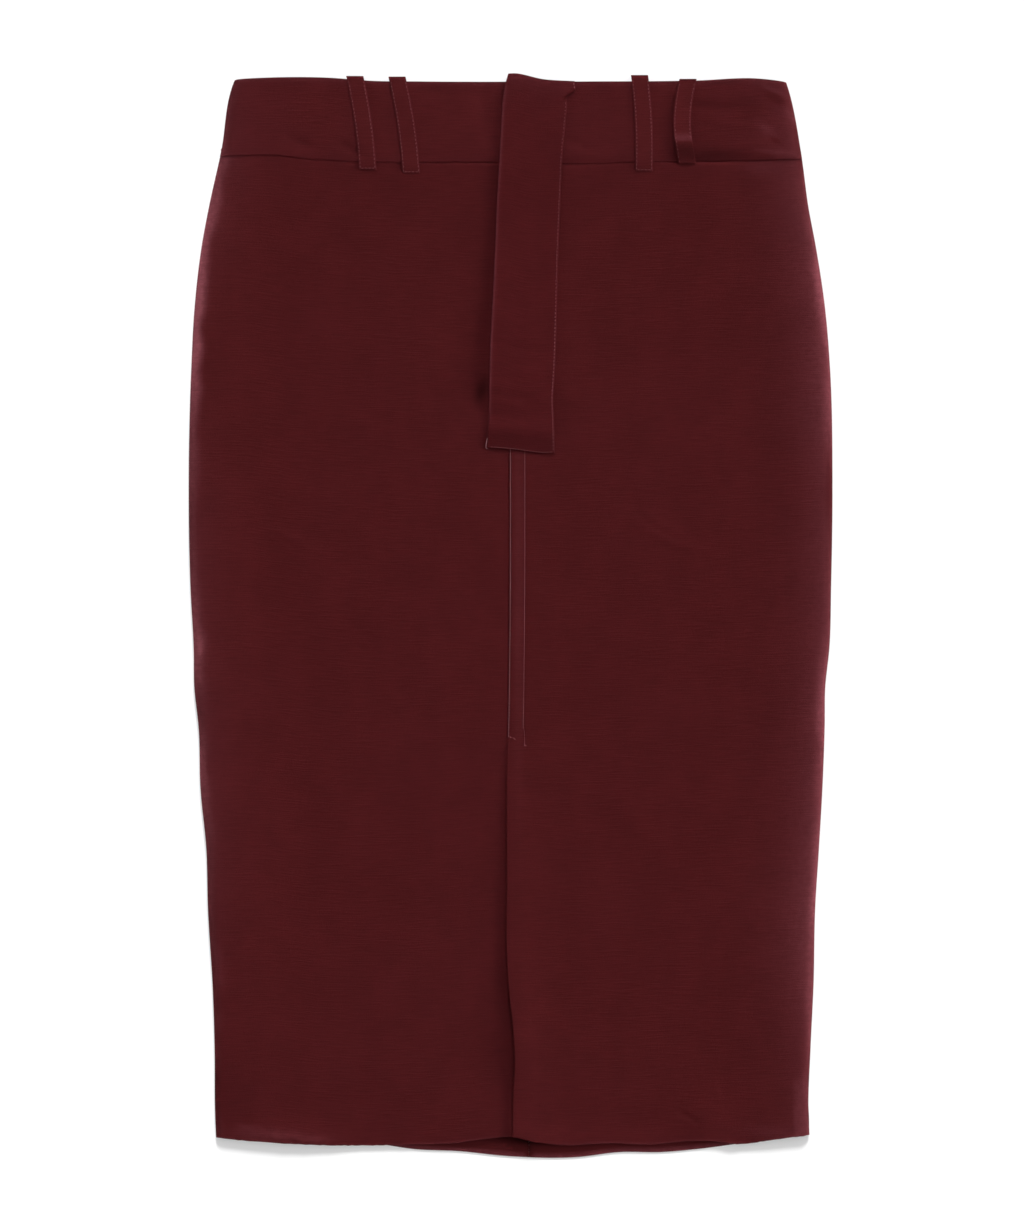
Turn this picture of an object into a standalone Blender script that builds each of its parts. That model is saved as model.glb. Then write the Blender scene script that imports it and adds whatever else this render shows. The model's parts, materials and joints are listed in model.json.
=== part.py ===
"""Pencil skirt, laid flat with its front up.

The frame is in metres, with +X to the picture's right, +Y to the waist and +Z up. The back lies on
the floor at z = 0, and the origin is the middle of the whole outline on that floor. A place on the
garment is given by x, from the middle, and by down, from the line of the waist edge to the hem.
Every piece is one layer of cloth: its outer surface is worked out as a grid of sections, and a
Solidify modifier gives that surface its wall on the inner side.
"""

import math
from collections import namedtuple

import bpy
import numpy as np

# Walls of the pieces, and the room between two pieces.
PANEL_WALL = 0.0010
BAND_WALL = 0.0018
TAB_WALL = 0.0020
LOOP_WALL = 0.0014
SEAM_GAP = 0.0003
REST_GAP = 0.0004

# Where the pieces meet.
BACK_SEAM_TOP_X = 0.0040
BACK_SEAM_HEM_X = 0.0133
BACK_WAIST_DOWN = 0.0015
LOWEST_HEM_DOWN = 0.7736
HIGHEST_TAB_DOWN = -0.0060
NOMINAL_SEAM_DOWN = 0.0580
NOMINAL_HEM_DOWN = 0.7600
BACK_INSET = 0.0004
HALF_SEAM = SEAM_GAP / 2

# Heights of the front over the floor, on its outer side.
BACK_TOP = PANEL_WALL
BACK_BAND_TOP = BAND_WALL
PANEL_HEIGHT = BACK_TOP + SEAM_GAP + PANEL_WALL
BAND_FILL = 0.0008
BAND_HEIGHT = BACK_BAND_TOP + SEAM_GAP + BAND_FILL + BAND_WALL
BAND_STEP = 0.0003

# The side roll, where the front turns down to the back.
ROLL_STRETCH = 2.0
ROLL_STEPS = 5
ROLL_FOOT = 0.0006
SWELL_REACH = 0.055
BAND_ROLL_HEIGHT = 0.0062
WAIST_RISE_REACH = 0.028
WAIST_RISE_FROM = 0.015
WAIST_RISE_TO = 0.060

# The lap at the centre front, and the vent below it.
LAP_WIDTH = 0.0120
VENT_LAP_WIDTH = 0.0280
VENT_TOP_DOWN = 0.4740
VENT_LAP_GROWTH = 0.0200
LAP_CLEARANCE = 0.0010
LAP_FALL = 0.0140
VENT_LIFT_REACH = 0.0220

# Drape of the tab and the loops over the waist edge.
DROOP_START = 0.0004
DROOP_REACH = 0.0060
DROOP_DEPTH = 0.0016
SEAM_STEP_REACH = 0.0080
LOOP_WIDTH = 0.0123
LOOP_BUCKLE_PLACE = 0.66
LOOP_BUCKLE_REACH = 0.10

# Grid fineness.
PANEL_ROWS = 44
BACK_ROWS = 22
BACK_COLUMNS = 9
BAND_ROWS = 4
TAB_COLUMNS = 8
LOOP_ROWS = 16
LOOP_COLUMNS = 3

Sides = namedtuple("Sides", "down left right")
Across = namedtuple("Across", "x down")
Along = namedtuple("Along", "down value")
Fold = namedtuple("Fold", "x down length width turn height")
Loop = namedtuple("Loop", "name top_x top_down foot_x foot_down bow arch buckle")
Finish = namedtuple("Finish", "name colour roughness")

# Side outline of the whole garment, waist to hem.
OUTLINE = (
    Sides(-0.0030, -0.1972, 0.1975),
    Sides(0.0000, -0.1985, 0.1985),
    Sides(0.0540, -0.2084, 0.2094),
    Sides(0.0922, -0.2169, 0.2146),
    Sides(0.1210, -0.2223, 0.2200),
    Sides(0.1642, -0.2274, 0.2265),
    Sides(0.2074, -0.2298, 0.2301),
    Sides(0.2938, -0.2317, 0.2319),
    Sides(0.3658, -0.2305, 0.2309),
    Sides(0.4090, -0.2282, 0.2297),
    Sides(0.4378, -0.2277, 0.2267),
    Sides(0.4666, -0.2246, 0.2263),
    Sides(0.5098, -0.2233, 0.2247),
    Sides(0.5530, -0.2191, 0.2222),
    Sides(0.5962, -0.2179, 0.2195),
    Sides(0.6538, -0.2144, 0.2182),
    Sides(0.6970, -0.2131, 0.2161),
    Sides(0.7402, -0.2128, 0.2146),
    Sides(0.7660, -0.2118, 0.2156),
)

# Height of each side roll over the floor, panel seam to hem.
ROLLS = (
    Sides(0.0000, 0.0057, 0.0058),
    Sides(0.1000, 0.0050, 0.0052),
    Sides(0.1900, 0.0047, 0.0057),
    Sides(0.2800, 0.0046, 0.0050),
    Sides(0.3700, 0.0048, 0.0046),
    Sides(0.4350, 0.0058, 0.0054),
    Sides(0.4900, 0.0048, 0.0057),
    Sides(0.5400, 0.0055, 0.0048),
    Sides(0.6200, 0.0046, 0.0047),
    Sides(0.6900, 0.0048, 0.0052),
    Sides(0.7700, 0.0041, 0.0045),
)

# Lines that run across the garment.
WAIST_EDGE = (
    Across(-0.2100, -0.0006),
    Across(-0.1976, -0.0014),
    Across(-0.1350, -0.0029),
    Across(-0.0976, -0.0004),
    Across(-0.0660, 0.0000),
    Across(0.0460, 0.0000),
    Across(0.1336, -0.0007),
    Across(0.1760, -0.0020),
    Across(0.1990, 0.0004),
)
WAIST_SEAM = (
    Across(-0.2084, 0.0540),
    Across(-0.1674, 0.0533),
    Across(-0.1415, 0.0562),
    Across(-0.1098, 0.0576),
    Across(-0.0659, 0.0583),
    Across(-0.0428, 0.0576),
    Across(0.0443, 0.0590),
    Across(0.0839, 0.0580),
    Across(0.1199, 0.0576),
    Across(0.1732, 0.0583),
    Across(0.2092, 0.0569),
)
HEM_LEFT = (
    Across(-0.2118, 0.7600),
    Across(-0.1760, 0.7632),
    Across(-0.1110, 0.7658),
    Across(-0.0740, 0.7651),
    Across(-0.0410, 0.7639),
    Across(-0.0140, 0.7603),
    Across(0.0000, 0.7593),
    Across(0.0300, 0.7590),
)
HEM_RIGHT = (
    Across(0.0010, 0.7590),
    Across(0.0047, 0.7596),
    Across(0.0198, 0.7632),
    Across(0.0400, 0.7654),
    Across(0.0730, 0.7639),
    Across(0.0930, 0.7650),
    Across(0.1440, 0.7625),
    Across(0.1640, 0.7646),
    Across(0.1910, 0.7610),
    Across(0.2160, 0.7579),
)
HEM_BACK = (
    Across(-0.2118, 0.7560),
    Across(-0.1500, 0.7610),
    Across(-0.0940, 0.7651),
    Across(-0.0700, 0.7682),
    Across(-0.0364, 0.7693),
    Across(-0.0032, 0.7726),
    Across(0.0479, 0.7736),
    Across(0.0788, 0.7708),
    Across(0.1084, 0.7708),
    Across(0.1307, 0.7690),
    Across(0.1688, 0.7639),
    Across(0.2156, 0.7550),
)
TAB_TOP = (
    Across(-0.0030, -0.0056),
    Across(0.0010, -0.0060),
    Across(0.0248, -0.0014),
    Across(0.0465, 0.0000),
)
TAB_FOOT = (
    Across(-0.0180, 0.2634),
    Across(-0.0010, 0.2647),
    Across(0.0119, 0.2664),
    Across(0.0248, 0.2676),
    Across(0.0320, 0.2671),
)

# Lines and heights that run down the garment.
LAP_EDGE = (
    Along(0.0500, -0.0011),
    Along(0.4560, -0.0016),
    Along(0.4740, -0.0018),
    Along(0.4939, -0.0047),
    Along(0.5659, -0.0054),
    Along(0.6293, -0.0047),
    Along(0.6502, -0.0018),
    Along(0.6804, 0.0015),
    Along(0.7006, 0.0025),
    Along(0.7308, 0.0015),
    Along(0.7660, 0.0016),
)
VENT_LIFT = (
    Along(0.4740, 0.0000),
    Along(0.5600, 0.0005),
    Along(0.6300, 0.0010),
    Along(0.6750, 0.0024),
    Along(0.7000, 0.0022),
    Along(0.7300, 0.0012),
    Along(0.7660, 0.0008),
)
TAB_SIDES = (
    Sides(-0.0060, -0.0016, 0.0461),
    Sides(0.0014, -0.0035, 0.0461),
    Sides(0.0076, -0.0044, 0.0461),
    Sides(0.0122, -0.0052, 0.0400),
    Sides(0.0158, -0.0056, 0.0404),
    Sides(0.0266, -0.0063, 0.0398),
    Sides(0.0511, -0.0076, 0.0374),
    Sides(0.0828, -0.0095, 0.0359),
    Sides(0.1260, -0.0112, 0.0342),
    Sides(0.2088, -0.0150, 0.0318),
    Sides(0.2304, -0.0153, 0.0306),
    Sides(0.2419, -0.0156, 0.0311),
    Sides(0.2680, -0.0180, 0.0318),
)
TAB_LIFT = (
    Along(-0.0060, 0.0000),
    Along(0.0300, 0.0004),
    Along(0.0800, 0.0012),
    Along(0.1600, 0.0016),
    Along(0.2200, 0.0022),
    Along(0.2450, 0.0017),
    Along(0.2680, 0.0008),
)

# The largest folds. A turn of 0 degrees runs down the garment, and 90 runs across it.
PANEL_FOLDS = (
    Fold(-0.2160, 0.4370, 0.0380, 0.0060, 4.0, 0.0008),
    Fold(-0.2110, 0.5340, 0.0330, 0.0070, -5.0, 0.0007),
    Fold(0.2150, 0.4600, 0.0450, 0.0070, 3.0, 0.0007),
    Fold(0.2160, 0.1900, 0.0400, 0.0080, 6.0, 0.0006),
    Fold(-0.1610, 0.3300, 0.0180, 0.0060, 70.0, 0.0008),
    Fold(0.1127, 0.3250, 0.0220, 0.0070, 62.0, 0.0009),
    Fold(-0.1700, 0.7530, 0.0420, 0.0110, 88.0, 0.0013),
    Fold(0.1300, 0.7420, 0.0350, 0.0140, 75.0, 0.0010),
    Fold(0.0900, 0.3900, 0.1500, 0.0300, 2.0, 0.0007),
    Fold(-0.1900, 0.6200, 0.1200, 0.0220, -3.0, 0.0008),
    Fold(0.1750, 0.6400, 0.0900, 0.0240, 8.0, 0.0008),
)
BAND_FOLDS = (
    Fold(-0.1550, 0.0470, 0.0100, 0.0060, 80.0, -0.0007),
    Fold(0.1530, 0.0200, 0.0180, 0.0050, 88.0, -0.0007),
    Fold(0.1860, 0.0060, 0.0130, 0.0050, 62.0, 0.0009),
    Fold(0.1900, 0.0350, 0.0100, 0.0060, 40.0, -0.0008),
    Fold(0.1850, 0.0480, 0.0150, 0.0050, 88.0, 0.0009),
)

LOOPS = (
    Loop("belt_loop_1", -0.1120, -0.0040, -0.1026, 0.0634, 0.0014, 0.0014, 0.0),
    Loop("belt_loop_2", -0.0817, -0.0036, -0.0713, 0.0660, 0.0015, 0.0016, 0.0),
    Loop("belt_loop_3", 0.0936, -0.0048, 0.0968, 0.0646, 0.0016, 0.0013, 0.0),
    Loop("belt_loop_4", 0.1277, -0.0018, 0.1271, 0.0626, -0.0040, 0.0012, 0.0020),
)

PANEL_CLOTH = Finish("panel_cloth", (0.0666, 0.0097, 0.0110), 0.85)
BAND_CLOTH = Finish("waistband_cloth", (0.0600, 0.0088, 0.0100), 0.82)
TAB_CLOTH = Finish("tab_cloth", (0.0690, 0.0100, 0.0115), 0.80)
LOOP_CLOTH = Finish("loop_cloth", (0.0720, 0.0110, 0.0125), 0.82)

CENTRE_DOWN = (LOWEST_HEM_DOWN + HIGHEST_TAB_DOWN) / 2


def column(table, name):
    """One named column of a table, as an array."""
    return np.array([getattr(row, name) for row in table])


def curve(table, given, wanted, at):
    """Smooth curve through two columns of a table, flat past its ends, read at the places given."""
    places, values = column(table, given), column(table, wanted)
    slopes = np.gradient(values, places)
    at = np.clip(at, places[0], places[-1])
    start = np.clip(np.searchsorted(places, at, side="right") - 1, 0, len(places) - 2)
    span = places[start + 1] - places[start]
    t = (at - places[start]) / span
    ends = values[start] * (2 * t**3 - 3 * t**2 + 1) + values[start + 1] * (3 * t**2 - 2 * t**3)
    turns = slopes[start] * (t**3 - 2 * t**2 + t) + slopes[start + 1] * (t**3 - t**2)
    return ends + turns * span


def ease(low, high, at):
    """0 up to low, 1 from high on, and a soft step between them."""
    t = np.clip((at - low) / (high - low), 0.0, 1.0)
    return t * t * (3.0 - 2.0 * t)


def blend(first, last, share):
    """The value a share of the way from the first to the last."""
    return first + (last - first) * share


def fold_height(folds, x, down):
    """Sum of the soft ridges and troughs of a fold table at each place."""
    total = np.zeros(np.broadcast(x, down).shape)
    for fold in folds:
        turn = math.radians(fold.turn)
        along = (down - fold.down) * math.cos(turn) + (x - fold.x) * math.sin(turn)
        across = (x - fold.x) * math.cos(turn) - (down - fold.down) * math.sin(turn)
        total += fold.height * np.exp(-((along / fold.length) ** 2) - (across / fold.width) ** 2)
    return total


def lap_end(down):
    """Inner edge of the left front, which lies under the right front."""
    grown = ease(VENT_TOP_DOWN, VENT_TOP_DOWN + VENT_LAP_GROWTH, down)
    return curve(LAP_EDGE, "down", "value", down) + blend(LAP_WIDTH, VENT_LAP_WIDTH, grown)


def panel_height(x, down):
    """Outer height of a front panel that lies on the back alone, inside its side roll."""
    below_seam = np.maximum(down - NOMINAL_SEAM_DOWN, 0.0)
    rise = (BAND_HEIGHT - BAND_STEP - PANEL_HEIGHT) * np.exp(-below_seam / WAIST_RISE_REACH)
    beside_lap = ease(WAIST_RISE_FROM, WAIST_RISE_TO, np.abs(x))
    return PANEL_HEIGHT + rise * beside_lap + fold_height(PANEL_FOLDS, x, down)


def lap_height(x, down):
    """What the right front stands higher by, where it lies on the left one."""
    end = lap_end(down) + LAP_CLEARANCE
    return (PANEL_WALL + SEAM_GAP) * (1.0 - ease(end, end + LAP_FALL, x))


def band_height(x, down):
    """Outer height of the front waistband, inside its side roll."""
    return BAND_HEIGHT + fold_height(BAND_FOLDS, x, down)


def carried_height(x, down):
    """Outer height of whatever part of the front lies at a place, for a piece that rests on it."""
    seam = curve(WAIST_SEAM, "x", "down", x)
    below = ease(seam + SEAM_STEP_REACH / 4, seam + SEAM_STEP_REACH, down)
    lapped = np.maximum(x, curve(LAP_EDGE, "down", "value", down))
    near_lap = 1.0 - ease(WAIST_RISE_FROM, WAIST_RISE_TO, np.abs(x))
    panel = panel_height(x, down) + lap_height(lapped, down) * near_lap
    past_edge = curve(WAIST_EDGE, "x", "down", x) - down
    droop = DROOP_DEPTH * ease(DROOP_START, DROOP_REACH, past_edge)
    return blend(band_height(x, down), panel, below) - droop


def rolled(x, height, reach, roll_height, low):
    """Adds the swell and the side roll to one side's sections.

    The grid runs from the inside out. Its flat stretch ends where the roll starts. The roll is a
    quarter of an ellipse from there, and a short upright foot brings it to its low edge.
    """
    roll_width = ROLL_STRETCH * (roll_height - low)
    start = reach - roll_width
    swell = ease(start - SWELL_REACH, start, x)
    height = height + (roll_height - height) * swell
    turn = np.linspace(0.0, math.pi / 2, ROLL_STEPS + 1)[1:]
    roll_x = start + roll_width * np.sin(turn)
    drop = roll_height - low - ROLL_FOOT
    roll_z = np.broadcast_to(low + ROLL_FOOT + drop * np.cos(turn), roll_x.shape)
    foot_z = np.full_like(reach, low)
    return np.hstack([x, roll_x, reach]), np.hstack([height, roll_z, foot_z])


def to_points(x, down, z):
    """Grid of points from places on the garment and heights over the floor."""
    x, down, z = np.broadcast_arrays(x, down, z)
    return np.stack([x, CENTRE_DOWN - down, z], axis=-1)


def make_material(finish):
    """Material of one finish."""
    material = bpy.data.materials.get(finish.name)
    if material:
        return material
    material = bpy.data.materials.new(finish.name)
    material.use_nodes = True
    shader = material.node_tree.nodes["Principled BSDF"]
    shader.inputs["Base Color"].default_value = (*finish.colour, 1.0)
    shader.inputs["Roughness"].default_value = finish.roughness
    shader.inputs["Metallic"].default_value = 0.0
    return material


def make_piece(name, points, wall, finish, garment):
    """One piece of cloth from the grid of its outer surface, rows down and columns to +X."""
    rows, columns = points.shape[:2]
    corner = np.arange(rows * columns).reshape(rows, columns)
    faces = [corner[:-1, :-1], corner[1:, :-1], corner[1:, 1:], corner[:-1, 1:]]
    mesh = bpy.data.meshes.new(name)
    mesh.from_pydata(points.reshape(-1, 3).tolist(), [], np.stack(faces, -1).reshape(-1, 4).tolist())
    mesh.materials.append(make_material(finish))
    mesh.shade_smooth()
    piece = bpy.data.objects.new(name, mesh)
    bpy.context.scene.collection.objects.link(piece)
    piece.parent = garment
    solidify = piece.modifiers.new("wall", "SOLIDIFY")
    solidify.thickness = wall
    solidify.offset = -1.0
    solidify.use_even_offset = True
    return piece


def front_panel(side, inner_edge, hem):
    """Points of one front panel. Side is -1 for the left one and 1 for the right one."""
    share = np.linspace(0.0, 1.0, PANEL_ROWS + 1)[:, None]
    down = blend(NOMINAL_SEAM_DOWN, NOMINAL_HEM_DOWN, share)
    which = "left" if side < 0 else "right"
    reach = side * curve(OUTLINE, "down", which, down)
    roll_height = curve(ROLLS, "down", which, down)
    low = BACK_TOP + REST_GAP
    edge = side * inner_edge(down)
    near = np.array([0.0, 0.006, 0.012, 0.020, 0.028, 0.036, 0.044])
    far = np.linspace(0.062, 1.0, 9)
    start = reach - ROLL_STRETCH * (roll_height - low)
    beyond = edge + near[-1]
    inner_x = np.hstack([edge + near, beyond + (start - beyond) * far])
    inner_down = np.broadcast_to(down, inner_x.shape)
    height = panel_height(side * inner_x, inner_down)
    if side > 0:
        lift = curve(VENT_LIFT, "down", "value", down)
        height = height + lap_height(inner_x, inner_down)
        height = height + lift * np.exp(-(((inner_x - edge) / VENT_LIFT_REACH) ** 2))
    x, z = rolled(inner_x, height, reach, roll_height, low)
    x = side * x
    top = curve(WAIST_SEAM, "x", "down", x) + HALF_SEAM
    points = to_points(x, blend(top, curve(hem, "x", "down", x), share), z)
    return points[:, ::side]


def back_panel(side):
    """Points of one half of the back, flat on the floor."""
    share = np.linspace(0.0, 1.0, BACK_ROWS + 1)[:, None]
    down = blend(NOMINAL_SEAM_DOWN, LOWEST_HEM_DOWN, share)
    seam = blend(BACK_SEAM_TOP_X, BACK_SEAM_HEM_X, share) + side * HALF_SEAM
    which = "left" if side < 0 else "right"
    outer = curve(OUTLINE, "down", which, down) - side * BACK_INSET
    x = blend(seam, outer, np.linspace(0.0, 1.0, BACK_COLUMNS + 1))
    top = curve(WAIST_SEAM, "x", "down", x) + HALF_SEAM
    points = to_points(x, blend(top, curve(HEM_BACK, "x", "down", x), share), BACK_TOP)
    return points[:, ::side]


def front_band(side):
    """Points of one half of the front waistband, which meets the other half under the tab."""
    share = np.linspace(0.0, 1.0, BAND_ROWS + 1)[:, None]
    down = blend(0.0, NOMINAL_SEAM_DOWN, share)
    which = "left" if side < 0 else "right"
    reach = side * curve(OUTLINE, "down", which, down)
    low = BACK_BAND_TOP + REST_GAP
    start = reach - ROLL_STRETCH * (BAND_ROLL_HEIGHT - low)
    inner_x = blend(HALF_SEAM, start, np.linspace(0.0, 1.0, 14))
    height = band_height(side * inner_x, np.broadcast_to(down, inner_x.shape))
    x, z = rolled(inner_x, height, reach, BAND_ROLL_HEIGHT, low)
    x = side * x
    edge = curve(WAIST_EDGE, "x", "down", x)
    seam = curve(WAIST_SEAM, "x", "down", x) - HALF_SEAM
    points = to_points(x, blend(edge, seam, share), z)
    return points[:, ::side]


def back_band():
    """Points of the back waistband, flat on the floor."""
    share = np.linspace(0.0, 1.0, 3)[:, None]
    down = blend(BACK_WAIST_DOWN, NOMINAL_SEAM_DOWN, share)
    left = curve(OUTLINE, "down", "left", down) + BACK_INSET
    right = curve(OUTLINE, "down", "right", down) - BACK_INSET
    x = blend(left, right, np.linspace(0.0, 1.0, 2 * BACK_COLUMNS + 1))
    seam = curve(WAIST_SEAM, "x", "down", x) - HALF_SEAM
    return to_points(x, blend(BACK_WAIST_DOWN, seam, share), BACK_BAND_TOP)


def fly_tab():
    """Points of the long tab, whose left edge stands free and whose right edge is sewn down."""
    share = np.hstack([np.linspace(0.0, 0.06, 6), np.linspace(0.085, 1.0, 32)])[:, None]
    left_down = blend(TAB_TOP[0].down, TAB_FOOT[0].down, share)
    right_down = blend(TAB_TOP[-1].down, TAB_FOOT[-1].down, share)
    left = curve(TAB_SIDES, "down", "left", left_down)
    right = curve(TAB_SIDES, "down", "right", right_down)
    across = np.linspace(0.0, 1.0, TAB_COLUMNS + 1)
    x = blend(left, right, across)
    down = blend(curve(TAB_TOP, "x", "down", x), curve(TAB_FOOT, "x", "down", x), share)
    lift = curve(TAB_LIFT, "down", "value", down) * (1.0 - across) ** 1.5
    return to_points(x, down, carried_height(x, down) + REST_GAP + TAB_WALL + lift)


def belt_loop(loop):
    """Points of one belt loop: a strip that bows sideways and stands off the band in the middle."""
    edge = curve(WAIST_EDGE, "x", "down", loop.top_x) - DROOP_START
    edge_share = (edge - loop.top_down) / (loop.foot_down - loop.top_down)
    share = np.hstack([0.0, edge_share / 2, np.linspace(edge_share, 1.0, LOOP_ROWS - 1)])[:, None]
    middle = blend(loop.top_x, loop.foot_x, share) + loop.bow * np.sin(math.pi * share)
    x = middle + LOOP_WIDTH * np.linspace(-0.5, 0.5, LOOP_COLUMNS + 1)
    down = np.broadcast_to(blend(loop.top_down, loop.foot_down, share), x.shape)
    arch = loop.arch * np.sin(math.pi * share) ** 2
    buckle = loop.buckle * np.exp(-(((share - LOOP_BUCKLE_PLACE) / LOOP_BUCKLE_REACH) ** 2))
    return to_points(x, down, carried_height(x, down) + REST_GAP + LOOP_WALL + arch + buckle)


def right_edge(down):
    """Free edge of the right front, which laps over the left one."""
    return curve(LAP_EDGE, "down", "value", down)


def main():
    """Clears the scene and builds every piece of the skirt."""
    for old in list(bpy.data.objects):
        bpy.data.objects.remove(old)
    garment = bpy.data.objects.new("skirt", None)
    bpy.context.scene.collection.objects.link(garment)
    for side, name in ((-1, "left"), (1, "right")):
        edge, hem = (lap_end, HEM_LEFT) if side < 0 else (right_edge, HEM_RIGHT)
        make_piece(f"front_{name}", front_panel(side, edge, hem), PANEL_WALL, PANEL_CLOTH, garment)
        make_piece(f"back_{name}", back_panel(side), PANEL_WALL, PANEL_CLOTH, garment)
        make_piece(f"waistband_front_{name}", front_band(side), BAND_WALL, BAND_CLOTH, garment)
    make_piece("waistband_back", back_band(), BAND_WALL, BAND_CLOTH, garment)
    make_piece("fly_tab", fly_tab(), TAB_WALL, TAB_CLOTH, garment)
    for loop in LOOPS:
        make_piece(loop.name, belt_loop(loop), LOOP_WALL, LOOP_CLOTH, garment)


main()
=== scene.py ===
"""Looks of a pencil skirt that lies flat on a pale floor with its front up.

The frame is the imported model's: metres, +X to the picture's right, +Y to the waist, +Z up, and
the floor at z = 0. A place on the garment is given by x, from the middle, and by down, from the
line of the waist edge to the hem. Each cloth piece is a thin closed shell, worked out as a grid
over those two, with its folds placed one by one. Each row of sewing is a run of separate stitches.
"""

from __future__ import annotations

import json
import logging
import math
from dataclasses import dataclass, replace
from enum import Enum
from typing import Sequence, TypeAlias

import bpy
import numpy as np
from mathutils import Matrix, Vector

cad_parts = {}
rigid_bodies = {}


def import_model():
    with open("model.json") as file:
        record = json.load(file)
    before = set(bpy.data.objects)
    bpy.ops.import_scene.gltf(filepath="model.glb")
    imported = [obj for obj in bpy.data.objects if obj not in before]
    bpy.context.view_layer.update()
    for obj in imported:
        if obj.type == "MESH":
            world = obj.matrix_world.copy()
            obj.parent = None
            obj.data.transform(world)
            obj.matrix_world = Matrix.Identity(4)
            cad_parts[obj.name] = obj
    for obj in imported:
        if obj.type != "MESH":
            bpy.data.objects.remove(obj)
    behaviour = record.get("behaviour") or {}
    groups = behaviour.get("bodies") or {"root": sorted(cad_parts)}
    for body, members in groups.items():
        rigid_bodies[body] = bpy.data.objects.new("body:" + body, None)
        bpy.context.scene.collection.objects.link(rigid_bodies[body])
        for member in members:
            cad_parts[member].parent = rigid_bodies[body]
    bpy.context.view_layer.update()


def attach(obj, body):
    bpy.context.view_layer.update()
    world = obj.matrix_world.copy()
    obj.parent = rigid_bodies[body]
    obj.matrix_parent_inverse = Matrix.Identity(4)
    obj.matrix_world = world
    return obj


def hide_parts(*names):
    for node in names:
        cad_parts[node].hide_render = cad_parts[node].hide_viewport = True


logging.basicConfig(level=logging.INFO, format="%(message)s")
LOG = logging.getLogger("skirt")

Grid: TypeAlias = np.ndarray
Number: TypeAlias = "Grid | float"
Socket: TypeAlias = "bpy.types.NodeSocket"
Source: TypeAlias = "Socket | float | tuple[float, ...]"

BODY = "root"
CLOTH_MAP = "cloth"
# Point attribute of painted light: painted highlights above 0, painted shade below 0.
PAINTED_LIGHT_LAYER = "rub"
PAINTED_LIGHT_RANGE = (-0.9, 1.0)
ROUNDING_STEPS = 5
FOOT_STEPS = 4
PHOTO_SIZE_PX = (1024, 1231)
METRES_PER_PX = 0.00072


class Side(Enum):
    """The two halves of the front and the back, as the sign of their x."""

    LEFT = -1
    RIGHT = 1

    @property
    def index(self) -> int:
        """Its place in a pair that holds the left one first."""
        return (self.value + 1) // 2


class Slot(Enum):
    """The record's material slots."""

    PANEL = "panel_cloth"
    BAND = "waistband_cloth"
    TAB = "tab_cloth"
    LOOP = "loop_cloth"


def ease(low: Number, high: Number, at: Number) -> Number:
    """0 up to low, 1 from high on, and the cubic 3t^2 - 2t^3 between them."""
    t = np.clip((at - low) / (high - low), 0.0, 1.0)
    return t * t * (3.0 - 2.0 * t)


def blend(first: Number, last: Number, share: Number) -> Number:
    """The value a share of the way from the first to the last."""
    return first + (last - first) * share


def bell(distance: Number, width: Number) -> Number:
    """1 at no distance, falling off by exp(-(distance / width)^2)."""
    return np.exp(-((distance / width) ** 2))


@dataclass(frozen=True)
class Line:
    """A smooth line through (place, value) rows, flat past its two ends."""

    rows: tuple[tuple[float, float], ...]

    def at(self, place: Grid) -> Grid:
        """Reads the line.

        Between two rows it is the cubic that keeps both values and the slopes there. A slope is
        the one of the parabola through a row and its neighbours.

        Args:
            place: where to read it.

        Returns:
            The value at each place.
        """
        places, values = np.array(self.rows).T
        slopes = np.gradient(values, places)
        place = np.clip(place, places[0], places[-1])
        start = np.clip(np.searchsorted(places, place, side="right") - 1, 0, len(places) - 2)
        span = places[start + 1] - places[start]
        t = (place - places[start]) / span
        after = start + 1
        flat = values[start] * (2 * t**3 - 3 * t**2 + 1) + values[after] * (3 * t**2 - 2 * t**3)
        turn = slopes[start] * (t**3 - 2 * t**2 + t) + slopes[after] * (t**3 - t**2)
        return flat + turn * span


def paired(*rows: tuple[float, float, float]) -> tuple[Line, Line]:
    """Makes two lines that share their places.

    Args:
        rows: the place, the left line's value and the right line's value.

    Returns:
        The left line and the right one.
    """
    places, left, right = zip(*rows)
    return Line(tuple(zip(places, left))), Line(tuple(zip(places, right)))


@dataclass(frozen=True)
class Crease:
    """A soft ridge, or a trough where its height is negative.

    A turn of 0 degrees runs down the garment and one of 90 across it. Bend is how far its ends
    curve away from a straight line. In a patch of painted light the height is how pale, a painted
    highlight, or how dark, painted shade, it is.
    """

    x: float
    down: float
    length: float
    width: float
    turn: float
    height: float
    bend: float = 0.0

    def at(self, x: Grid, down: Grid) -> Grid:
        """Reads the crease: exp(-(a / length)^2) along it times exp(-(c / width)^2) across it.

        Args:
            x: places across.
            down: places down.

        Returns:
            The height at each place.
        """
        turn = math.radians(self.turn)
        along = (down - self.down) * math.cos(turn) + (x - self.x) * math.sin(turn)
        across = (x - self.x) * math.cos(turn) - (down - self.down) * math.sin(turn)
        across = across - self.bend * (along / self.length) ** 2
        return self.height * np.exp(-((along / self.length) ** 2) - (across / self.width) ** 2)


def crease_set(*rows: tuple[float, ...]) -> tuple[Crease, ...]:
    """Creases from rows of x, down, length, width, turn, height and, where it isn't 0, bend."""
    return tuple(Crease(*row) for row in rows)


def creased(creases: Sequence[Crease], x: Grid, down: Grid) -> Grid:
    """Adds up creases.

    Args:
        creases: the creases.
        x: places across.
        down: places down.

    Returns:
        The sum of their heights at each place.
    """
    total = np.zeros(np.broadcast(x, down).shape)
    for crease in creases:
        total = total + crease.at(x, down)
    return total


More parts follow.
